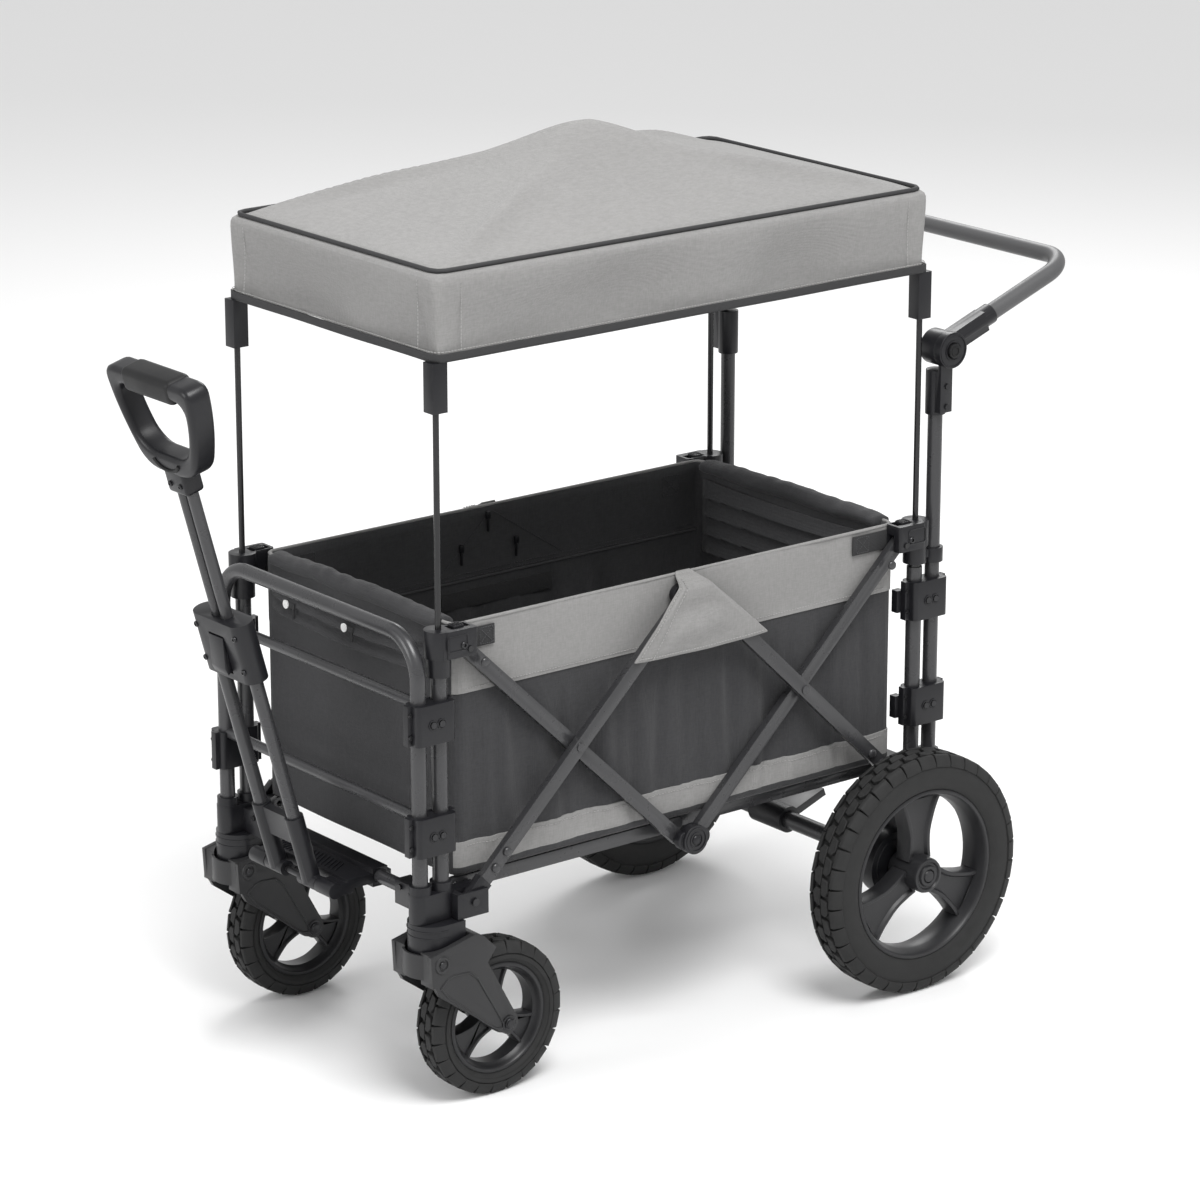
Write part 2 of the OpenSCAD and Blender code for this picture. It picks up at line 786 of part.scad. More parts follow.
// inner post that telescopes, canopy rod above it and the upper brace pin
module uprights() {
    inner_r = post_bore_r - slide_gap;
    both_sides() {
        difference() {
            union() {
                translate([-post_x, -post_y, 330]) cylinder(r = inner_r, h = 190);
                translate([-post_x, -post_y, 515.5]) cylinder(r = post_r - 1.5, h = 39.5);
            }
            translate([-post_x, -post_y, 329]) cylinder(r = inner_r - 1.2, h = 225);
        }
        translate([-post_x, -post_y, 560]) cylinder(r = rod_r, h = socket_z + 40 - 560);
        translate([-pivot_x, 0, pivot_high_z]) {
            bar_y(pin_r, -post_y - 19, -post_y + 6.5);
            bar_y(screw_r, -post_y - 20.5, -post_y - 19);
        }
    }
}

module front_rods() { color(steel) uprights(); }
module rear_rods() { color(steel) at_end(true) uprights(); }

// ribbed sliding latch on top of each corner block
module latches() {
    both_sides() block([-342, -202.5, 566.3], [-328, -189.5, 571.5]);
}

module front_latches() { color(nylon) latches(); }
module rear_latches() { color(nylon) at_end(true) latches(); }

// roof with four faces up to a short ridge, over a straight valance
module roof(grow, drop) {
    x = canopy_x + grow;
    y = canopy_y + grow;
    edge = canopy_edge_z + drop;
    top = canopy_peak_z + drop;
    polyhedron(
        points = [[-x, -y, edge], [x, -y, edge], [x, y, edge], [-x, y, edge],
            [-34, 0, top], [34, 0, top]],
        faces = [[0, 1, 2, 3], [0, 4, 5, 1], [1, 5, 2], [2, 5, 4, 3], [3, 4, 0]]);
    block([-x, -y, canopy_hem_z + (drop < 0 ? -1 : 0)], [x, y, edge + 0.01]);
}

module canopy_cover() {
    color(light_cloth) difference() {
        roof(0, 0);
        roof(-2.5, -3);
    }
}

// four rods from the corners to a boss under the roof's peak
module canopy_ribs() {
    rib_r = 3;
    boss_z = canopy_peak_z - 36;
    color(steel) {
        for (s = [-1, 1]) for (t = [-1, 1]) hull() {
            translate([t * (post_x - 4), s * t * (post_y - 4), socket_top_z + rib_r + 0.5])
                sphere(r = rib_r, $fn = 12);
            translate([t * 20, s * t * 6, boss_z + 4]) sphere(r = rib_r, $fn = 12);
        }
        translate([0, 0, boss_z]) cylinder(r = 26, h = 8);
    }
}

module basket_shell() {
    color(light_cloth) difference() {
        block([-panel_x + 4, -wall_y, basket_low_z], [panel_x - 4, wall_y, basket_top_z]);
        block([-panel_x, -wall_y + wall_t, basket_low_z + floor_t],
            [panel_x, wall_y - wall_t, basket_top_z + 1]);
    }
}

module end_panel(top_z) {
    block([-panel_x, -171, basket_low_z + 4], [-panel_x + 3.5, 171, top_z]);
}

module front_panel() { color(dark_cloth) end_panel(basket_top_z); }
module rear_panel() { color(dark_cloth) at_end(true) end_panel(basket_top_z + 4); }

// ---------- push handle ----------

// coordinates along a push-bar arm: X out along the arm, turned up by its rise
module on_arm() {
    translate([push_pivot[0], 0, push_pivot[1]]) rotate([0, -push_rise, 0]) children();
}

module push_bar() {
    r = push_bar_d / 2;
    bend = 40;
    end_x = push_len - r;
    ring_w = 1.5;
    color(steel) on_arm() {
        both_sides() {
            translate([30, -post_y, 0]) rotate([0, 90, 0]) difference() {
                cylinder(r = r, h = end_x - bend - 30);
                translate([0, 0, -1]) cylinder(r = r - ring_w, h = end_x - bend - 28);
            }
            translate([end_x - bend, -post_y + bend, 0]) rotate([0, 0, -90])
                rotate_extrude(angle = 90) translate([bend, 0]) difference() {
                    circle(r = r);
                    circle(r = r - ring_w);
                }
        }
        translate([end_x, 0, 0]) difference() {
            bar_y(r, -post_y + bend, post_y - bend);
            bar_y(r - ring_w, -post_y + bend - 1, post_y - bend + 1);
        }
    }
}

module push_hinge_arms() {
    color(nylon) both_sides() on_arm() difference() {
        union() {
            bar_y(push_disc_r - 0.5, -206, -182);
            translate([10, -post_y, 0]) rotate([0, 90, 0]) cylinder(r = 12.8, h = 76);
            block([0, -post_y - 12, -12.5], [70, -post_y + 6, 12.5]);
        }
        translate([30, -post_y, 0]) rotate([0, 90, 0]) cylinder(r = push_bar_d / 2, h = 60);
        bar_y(5, -220, -160);
    }
}

// round push button with its stem through the hinge
module release_button() {
    translate([push_pivot[0], 0, push_pivot[1]]) {
        bar_y(9, -222, -216);
        bar_y(4.6, -216, -186);
    }
}

module left_release_button() { color(nylon) on_side(false) release_button(); }
module right_release_button() { color(nylon) on_side(true) release_button(); }

// ---------- draw handle ----------

// coordinates along the draw handle: Z up along the tubes, X back towards the wagon
module on_handle() {
    translate([draw_pivot[0], 0, draw_pivot[1]]) rotate([0, -draw_lean, 0]) children();
}

module draw_tubes() {
    color(steel) on_handle() both_sides()
        upright_tube(0, -draw_tube_y, 8, 6.8, 22, latch_z[0] + 30);
}

// foot that turns on the pivot pin and holds the lower tubes
module draw_foot() {
    difference() {
        union() {
            both_sides() {
                bar_y(9.2, -50, -16);
                translate([0, -draw_tube_y, 0]) cylinder(r = 11, h = 86);
            }
            block([-5, -draw_tube_y, 48], [5, draw_tube_y, 84]);
        }
        both_sides() translate([0, -draw_tube_y, 22]) cylinder(r = 8, h = 80);
        bar_y(4 + run_gap, -60, 60);
    }
}

// crosshead that joins the lower tubes and guides the inner pair
module latch_block() {
    z0 = latch_z[0];
    h = latch_z[1] - z0;
    difference() {
        translate([0, 0, z0]) linear_extrude(h) union() {
            for (s = [-1, 1]) translate([0, s * 34]) circle(r = 15);
            translate([-15, -34]) square([30, 68]);
        }
        both_sides() {
            translate([0, -draw_tube_y, z0 - 1]) cylinder(r = 8, h = 31);
            translate([0, -inner_tube_y, z0 - 1]) cylinder(r = inner_tube_r + slide_gap, h = h + 2);
        }
        // seat of the release lever
        block([-20, -15, z0 + 8], [-8.5, 15, z0 + 56]);
    }
    // pin that the release lever turns on
    translate([lever_pivot[0], 0, z0 + lever_pivot[1]]) bar_y(lever_pin_r, -16, 16);
}

module draw_fittings() {
    color(nylon) on_handle() {
        draw_foot();
        latch_block();
    }
}

// squeeze lever that frees the inner tubes, hinged at its upper edge
module release_lever() {
    z0 = latch_z[0];
    color(nylon) on_handle() difference() {
        side_plate(-14, 14) polygon([[-9.5, z0 + 54], [-16, z0 + 54],
            [-23, z0 + 18], [-21, z0 + 9], [-15, z0 + 12]]);
        translate([lever_pivot[0], 0, z0 + lever_pivot[1]])
            bar_y(lever_pin_r + run_gap, -15, 15);
    }
}

module inner_draw_tubes() {
    color(steel) on_handle() both_sides()
        upright_tube(0, -inner_tube_y, inner_tube_r, inner_tube_r - 1.2, latch_z[0] + 6, neck_z + 26);
}

// outline of the grip in Y and height above the neck
module grip_outline(inset) {
    hull() {
        translate([-66 + inset, 128 - inset]) circle(r = 17, $fn = 32);
        translate([66 - inset, 128 - inset]) circle(r = 17, $fn = 32);
        translate([-31 + inset / 2, 46 + inset]) circle(r = 17, $fn = 32);
        translate([31 - inset / 2, 46 + inset]) circle(r = 17, $fn = 32);
    }
}

module grip_frame() {
    top = draw_len - neck_z;
    color(nylon) on_handle() difference() {
        translate([0, 0, neck_z]) union() {
            translate([-16, 0, 0]) rotate([90, 0, 90]) linear_extrude(32) difference() {
                grip_outline(0);
                intersection() {
                    grip_outline(18);
                    translate([-80, 50]) square([160, 71]);
                }
            }
            block([-13, -19, 0], [13, 19, 40]);
        }
        both_sides() translate([0, -inner_tube_y, neck_z - 1]) cylinder(r = inner_tube_r, h = 27);
        // flat on which the soft pad lies
        translate([-20, -50, neck_z + top - 7]) cube([40, 100, 20]);
    }
}

module grip_pad() {
    top = draw_len - neck_z;
    color([0.1, 0.1, 0.1]) on_handle() block([-17, -49.5, neck_z + top - 7], [17, 49.5, neck_z + top]);
}

front_posts();
front_frame();
front_clamps();
front_bottom_brackets();
footplate();
front_fasteners();
left_caster_head();
right_caster_head();
left_fork();
right_fork();
left_caster_bolts();
right_caster_bolts();
left_caster_tyre();
right_caster_tyre();
left_caster_rim();
right_caster_rim();
rear_posts();
push_posts();
rear_clamps();
rear_bottom_brackets();
rear_cross_tubes();
brake_drums();
rear_fasteners();
push_hinge_bases();
left_rear_tyre();
right_rear_tyre();
left_rear_rim();
right_rear_rim();
brake_pedal();
front_lower_braces();
front_upper_braces();
rear_lower_braces();
rear_upper_braces();
front_brace_feet();
rear_brace_feet();
upper_hubs();
lower_hubs();
front_floor_rails();
rear_floor_rails();
front_top_brackets();
front_rods();
canopy_cover();
canopy_ribs();
basket_shell();
front_panel();
rear_top_brackets();
rear_rods();
rear_panel();
front_latches();
rear_latches();
push_bar();
push_hinge_arms();
left_release_button();
right_release_button();
draw_tubes();
draw_fittings();
release_lever();
inner_draw_tubes();
grip_frame();
grip_pad();
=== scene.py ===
"""Folding pull wagon: its finished looks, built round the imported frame.

Metres, +Z up. The draw handle is at -X, the push bar at +X, and -Y is the wagon's left side.
"""

from __future__ import annotations

import logging
import math
from dataclasses import dataclass, field
from enum import Enum
from typing import Any, Callable, Iterable, Sequence

import bmesh
import bpy
from mathutils import Matrix, Vector, noise

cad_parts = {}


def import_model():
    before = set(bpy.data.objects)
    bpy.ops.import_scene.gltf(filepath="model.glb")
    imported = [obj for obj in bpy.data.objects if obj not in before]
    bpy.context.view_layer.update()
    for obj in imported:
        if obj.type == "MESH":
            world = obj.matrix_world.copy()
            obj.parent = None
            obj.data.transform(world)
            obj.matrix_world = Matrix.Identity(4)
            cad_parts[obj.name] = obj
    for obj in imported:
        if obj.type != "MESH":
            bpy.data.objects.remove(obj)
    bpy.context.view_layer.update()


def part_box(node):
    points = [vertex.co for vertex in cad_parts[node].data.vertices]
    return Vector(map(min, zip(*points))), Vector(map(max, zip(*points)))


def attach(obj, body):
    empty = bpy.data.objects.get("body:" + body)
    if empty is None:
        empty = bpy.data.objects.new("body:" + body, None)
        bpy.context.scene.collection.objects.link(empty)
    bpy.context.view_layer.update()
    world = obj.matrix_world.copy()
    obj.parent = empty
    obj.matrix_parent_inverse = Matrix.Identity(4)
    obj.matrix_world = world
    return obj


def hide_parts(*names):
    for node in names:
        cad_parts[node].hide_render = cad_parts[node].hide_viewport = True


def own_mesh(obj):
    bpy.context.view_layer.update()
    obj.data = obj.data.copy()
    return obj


LOG = logging.getLogger("pull_wagon")

Colour = tuple[float, float, float]
Point = tuple[float, float, float]
Outline = Sequence[tuple[float, float]]


class Side(Enum):
    """The wagon's two sides, by the sign of Y."""

    LEFT = -1
    RIGHT = 1

    @property
    def word(self) -> str:
        """The side's name as the frame spells it."""
        return self.name.lower()


class End(Enum):
    """The wagon's two ends, by the sign of X."""

    FRONT = -1
    REAR = 1

    @property
    def word(self) -> str:
        """The end's name as the frame spells it."""
        return self.name.lower()


class Across(Enum):
    """The direction a flat outline is thickened in."""

    X = 0
    Y = 1
    Z = 2

    def point(self, a: float, b: float, depth: float) -> Vector:
        """Place an outline's two numbers in space.

        Args:
            a: First number of the outline's point.
            b: Second number of the outline's point.
            depth: Place along this direction.

        Returns:
            The point in the wagon's frame.
        """
        if self is Across.X:
            return Vector((depth, a, b))
        if self is Across.Y:
            return Vector((a, depth, b))
        return Vector((a, b, depth))

    @property
    def turn(self) -> Matrix:
        """The rotation that takes Z to this direction.

        Returns:
            The rotation.
        """
        if self is Across.X:
            return Matrix.Rotation(math.radians(90), 4, "Y")
        if self is Across.Y:
            return Matrix.Rotation(math.radians(-90), 4, "X")
        return Matrix.Identity(4)


# ---------- finishes ----------


class Swatch:
    """The node tree of one material, with its Principled shader at the end."""

    def __init__(self, name: str, colour: Colour, roughness: float) -> None:
        """Start a material.

        Args:
            name: The material's name.
            colour: Linear base colour.
            roughness: Roughness of the shader.
        """
        self.material = bpy.data.materials.new(name)
        self.material.use_nodes = True
        tree = self.material.node_tree
        self.nodes = tree.nodes
        self.links = tree.links
        self.shader = self.nodes["Principled BSDF"]
        self.shader.inputs["Base Color"].default_value = (*colour, 1.0)
        self.shader.inputs["Roughness"].default_value = roughness
        self.place = self.nodes.new("ShaderNodeTexCoord").outputs["Object"]

    def mapped(self, scale: Point) -> Any:
        """Object coordinates stretched by a scale.

        Args:
            scale: Factor along each direction.

        Returns:
            The vector socket.
        """
        node = self.nodes.new("ShaderNodeMapping")
        node.inputs["Scale"].default_value = scale
        self.links.new(self.place, node.inputs["Vector"])
        return node.outputs["Vector"]

    def noise(self, scale: float, detail: float = 2.0, stretch: Point = (1, 1, 1)) -> Any:
        """A noise texture's value.

        Args:
            scale: Features per metre.
            detail: Octaves.
            stretch: Factor along each direction.

        Returns:
            The value socket.
        """
        node = self.nodes.new("ShaderNodeTexNoise")
        node.inputs["Scale"].default_value = scale
        node.inputs["Detail"].default_value = detail
        source = self.place if stretch == (1, 1, 1) else self.mapped(stretch)
        self.links.new(source, node.inputs["Vector"])
        return node.outputs["Fac"]

    def threads(self, pitch: float, direction: str) -> Any:
        """Bands like a row of threads.

        Args:
            pitch: Distance between threads in metres.
            direction: X, Y or Z.

        Returns:
            The value socket.
        """
        node = self.nodes.new("ShaderNodeTexWave")
        node.bands_direction = direction
        node.inputs["Scale"].default_value = math.pi / 10 / pitch
        node.inputs["Distortion"].default_value = 1.2
        node.inputs["Detail"].default_value = 1.0
        self.links.new(self.place, node.inputs["Vector"])
        return node.outputs["Fac"]

    def combine(self, operation: str, first: Any, second: Any) -> Any:
        """A sum, product or other mix of two values.

        Args:
            operation: The Math node's operation.
            first: A socket.
            second: A socket or a number.

        Returns:
            The value socket.
        """
        node = self.nodes.new("ShaderNodeMath")
        node.operation = operation
        self.links.new(first, node.inputs[0])
        if isinstance(second, (int, float)):
            node.inputs[1].default_value = second
        else:
            self.links.new(second, node.inputs[1])
        return node.outputs[0]

    def spread(self, value: Any, low: float, high: float, start: float, end: float) -> Any:
        """Remap a value from one range to another, clamped.

        Args:
            value: A socket.
            low: Lowest value taken in.
            high: Highest value taken in.
            start: What low becomes.
            end: What high becomes.

        Returns:
            The value socket.
        """
        node = self.nodes.new("ShaderNodeMapRange")
        for key, number in (("From Min", low), ("From Max", high), ("To Min", start), ("To Max", end)):
            node.inputs[key].default_value = number
        self.links.new(value, node.inputs["Value"])
        return node.outputs["Result"]

    def tint(self, factor: Any, dark: Colour, light: Colour) -> None:
        """Vary the base colour between two colours.

        Args:
            factor: A socket from 0 to 1.
            dark: Colour at 0.
            light: Colour at 1.
        """
        node = self.nodes.new("ShaderNodeMix")
        node.data_type = "RGBA"
        sockets = {s.identifier: s for s in node.inputs}
        sockets["A_Color"].default_value = (*dark, 1.0)
        sockets["B_Color"].default_value = (*light, 1.0)
        self.links.new(factor, sockets["Factor_Float"])
        result = next(s for s in node.outputs if s.identifier == "Result_Color")
        self.links.new(result, self.shader.inputs["Base Color"])

    def polish(self, value: Any, low: float, high: float) -> None:
        """Vary the roughness.

        Args:
            value: A noise socket.
            low: Roughness where the noise is low.
            high: Roughness where the noise is high.
        """
        self.links.new(self.spread(value, 0.3, 0.7, low, high), self.shader.inputs["Roughness"])

    def bump(self, height: Any, strength: float, depth: float) -> None:
        """Raise the surface by a height.

        Args:
            height: A socket.
            strength: Share of the bump.
            depth: Real height in metres.
        """
        node = self.nodes.new("ShaderNodeBump")
        node.inputs["Strength"].default_value = strength
        node.inputs["Distance"].default_value = depth
        self.links.new(height, node.inputs["Height"])
        self.links.new(node.outputs["Normal"], self.shader.inputs["Normal"])


def shade(colour: Colour, factor: float) -> Colour:
    """A colour made lighter or darker.

    Args:
        colour: Linear colour.
        factor: What to multiply it by.

    Returns:
        The new colour.
    """
    return (colour[0] * factor, colour[1] * factor, colour[2] * factor)


@dataclass(frozen=True)
class Finish:
    """What every finish has, and how it becomes a material once."""

    name: str
    slot: str
    colour: Colour
    roughness: float

    def dress(self, swatch: Swatch) -> None:
        """Add the finish's own nodes.

        Args:
            swatch: The material being made.
        """
        raise NotImplementedError

    def material(self) -> bpy.types.Material:
        """The finish's material, made the first time it is asked for.

        Returns:
            The Blender material.
        """
        made = bpy.data.materials.get(self.name)
        if made is None:
            swatch = Swatch(self.name, self.colour, self.roughness)
            self.dress(swatch)
            made = swatch.material
        return made


@dataclass(frozen=True)
class PowderCoat(Finish):
    """Baked powder on steel tube: satin, with a faint orange peel."""

    peel: float = 0.00012

    def dress(self, swatch: Swatch) -> None:
        """Add the orange peel and slow changes of gloss.

        Args:
            swatch: The material being made.
        """
        swatch.shader.inputs["Specular IOR Level"].default_value = 0.5
        wide = swatch.noise(14, 3)
        swatch.tint(swatch.spread(wide, 0.3, 0.7, 0, 1), shade(self.colour, 0.97), shade(self.colour, 1.03))
        swatch.polish(swatch.noise(60, 3), self.roughness - 0.02, self.roughness + 0.03)
        swatch.bump(swatch.noise(900, 2), 0.05, self.peel)


@dataclass(frozen=True)
class MouldedNylon(Finish):
    """Glass-filled nylon with a fine spark-eroded grain."""

    grain: float = 0.00009

    def dress(self, swatch: Swatch) -> None:
        """Add the grain and slightly worn gloss.

        Args:
            swatch: The material being made.
        """
        swatch.shader.inputs["Specular IOR Level"].default_value = 0.34
        wide = swatch.noise(22, 3)
        swatch.tint(swatch.spread(wide, 0.3, 0.7, 0, 1), shade(self.colour, 0.92), shade(self.colour, 1.08))
        swatch.polish(wide, self.roughness - 0.05, self.roughness + 0.06)
        swatch.bump(swatch.noise(2600, 1), 0.2, self.grain)


@dataclass(frozen=True)
class TyreRubber(Finish):
    """Foamed tyre rubber: matt, a little dusty, with soft mottling."""

    dust: Colour = (0.024, 0.024, 0.024)

    def dress(self, swatch: Swatch) -> None:
        """Add dust and a rubbery skin.

        Args:
            swatch: The material being made.
        """
        swatch.shader.inputs["Specular IOR Level"].default_value = 0.3
        mottled = swatch.noise(70, 5)
        swatch.tint(swatch.spread(mottled, 0.35, 0.75, 0, 1), self.colour, self.dust)
        swatch.polish(mottled, self.roughness - 0.06, self.roughness + 0.1)
        swatch.bump(swatch.noise(1800, 2), 0.5, 0.00012)


@dataclass(frozen=True)
class Canvas(Finish):
    """Plain-woven polyester with a melange of lighter and darker threads."""

    pitch: float = 0.0011
    melange: float = 0.10

    def dress(self, swatch: Swatch) -> None:
        """Add the weave, the melange and a dry sheen.

        Args:
            swatch: The material being made.
        """
        swatch.shader.inputs["Specular IOR Level"].default_value = 0.2
        swatch.shader.inputs["Sheen Weight"].default_value = 0.12
        swatch.shader.inputs["Sheen Roughness"].default_value = 0.5
        across = swatch.noise(700, 2, (1.0, 1.0, 0.16))
        along = swatch.noise(700, 2, (0.16, 0.16, 1.0))
        flecks = swatch.combine("ADD", across, along)
        slow = swatch.noise(9, 3)
        threads, clouds = swatch.spread(flecks, 0.75, 1.25, 0, 0.75), swatch.spread(slow, 0.3, 0.7, 0, 0.25)
        mixed = swatch.combine("ADD", threads, clouds)
        swatch.tint(mixed, shade(self.colour, 1 - self.melange), shade(self.colour, 1 + self.melange))
        rows = swatch.combine("ADD", swatch.threads(self.pitch, "X"), swatch.threads(self.pitch, "Y"))
        weave = swatch.combine("ADD", rows, swatch.threads(self.pitch, "Z"))
        swatch.bump(swatch.combine("ADD", weave, swatch.noise(160, 3)), 0.55, 0.00025)


@dataclass(frozen=True)
class Thread(Finish):
    """Sewing thread and binding tape."""

    def dress(self, swatch: Swatch) -> None:
        """Add the twist of the yarn.

        Args:
            swatch: The material being made.
        """
        twist = swatch.noise(1500, 2)
        swatch.tint(swatch.spread(twist, 0.3, 0.7, 0, 1), shade(self.colour, 0.8), shade(self.colour, 1.2))
        swatch.bump(twist, 0.6, 0.0002)


@dataclass(frozen=True)
class Webbing(Finish):
    """Woven strap and hook tape, with ribs across it."""

    rib: float = 0.0018

    def dress(self, swatch: Swatch) -> None:
        """Add the ribs and the fuzz.

        Args:
            swatch: The material being made.
        """
        fuzz = swatch.noise(1200, 3)
        swatch.tint(swatch.spread(fuzz, 0.3, 0.7, 0, 1), shade(self.colour, 0.7), shade(self.colour, 1.35))
        ribs = swatch.combine("ADD", swatch.threads(self.rib, "X"), swatch.threads(self.rib, "Z"))
        swatch.bump(swatch.combine("ADD", ribs, fuzz), 0.7, 0.0004)


@dataclass(frozen=True)
class GlossSteel(Finish):
    """Black gloss steel of the canopy rods and the screws."""

    metallic: float = 0.35

    def dress(self, swatch: Swatch) -> None:
        """Add faint drawing marks.

        Args:
            swatch: The material being made.
        """
        swatch.shader.inputs["Metallic"].default_value = self.metallic
        marks = swatch.noise(120, 4, (1, 1, 0.05))
        swatch.tint(swatch.spread(marks, 0.3, 0.7, 0, 1), shade(self.colour, 0.85), shade(self.colour, 1.15))
        swatch.polish(marks, self.roughness - 0.06, self.roughness + 0.08)


TUBE_COAT = PowderCoat("tube_powder_coat", "gunmetal_steel", (0.032, 0.032, 0.034), 0.28)
BAR_COAT = PowderCoat("push_bar_coat_matt", "push_bar_coat", (0.070, 0.070, 0.072), 0.42)
BLACK_NYLON = MouldedNylon("black_moulded_nylon", "black_nylon", (0.0088, 0.0088, 0.0106), 0.36)
GREY_NYLON = MouldedNylon("grey_caster_nylon", "grey_nylon", (0.022, 0.022, 0.023), 0.40)
RIM_NYLON = MouldedNylon("wheel_rim_nylon", "rim_plastic", (0.017, 0.017, 0.0185), 0.38)
RUBBER = TyreRubber("tread_rubber", "tyre_rubber", (0.015, 0.015, 0.015), 0.70)
LIGHT_CANVAS = Canvas("light_melange_canvas", "light_canvas", (0.235, 0.232, 0.228), 0.85)
DARK_CANVAS = Canvas("dark_side_canvas", "dark_canvas", (0.036, 0.036, 0.038), 0.85, melange=0.16)
LINER = Canvas("black_liner_cloth", "dark_canvas", (0.044, 0.044, 0.046), 0.8, melange=0.14)
LIGHT_THREAD = Thread("light_thread", "light_canvas", (0.30, 0.297, 0.29), 0.8)
DARK_THREAD = Thread("dark_thread", "dark_canvas", (0.055, 0.055, 0.058), 0.8)
PIPING_TAPE = Thread("canopy_piping", "dark_canvas", (0.022, 0.022, 0.023), 0.75)
HOOK_TAPE = Webbing("hook_tape", "dark_canvas", (0.024, 0.024, 0.025), 0.9)
ROD_BLACK = GlossSteel("rod_gloss_black", "black_rod", (0.02, 0.02, 0.021), 0.22)
SCREW_BLACK = GlossSteel("screw_black_zinc", "screw_steel", (0.035, 0.035, 0.037), 0.28, metallic=0.7)
SOFT_TOUCH = MouldedNylon("soft_touch_pad", "soft_pad", (0.0045, 0.0045, 0.0050), 0.55)
SNAP_WHITE = MouldedNylon("snap_button_white", "light_canvas", (0.75, 0.75, 0.74), 0.35)


# ---------- mesh workshop ----------


def extruded(
    part: bmesh.types.BMesh, edges: Sequence[bmesh.types.BMEdge]
) -> tuple[set[bmesh.types.BMVert], list[bmesh.types.BMEdge]]:
    """Grow a strip of faces from a row of edges.

    Args:
        part: The mesh.
        edges: The row.

    Returns:
        The new vertices, and the new row.
    """
    made = bmesh.ops.extrude_edge_only(part, edges=edges)
    fresh = {g for g in made["geom"] if isinstance(g, bmesh.types.BMVert)}
    row = [
        g for g in made["geom"]
        if isinstance(g, bmesh.types.BMEdge) and g.verts[0] in fresh and g.verts[1] in fresh
    ]
    return fresh, row


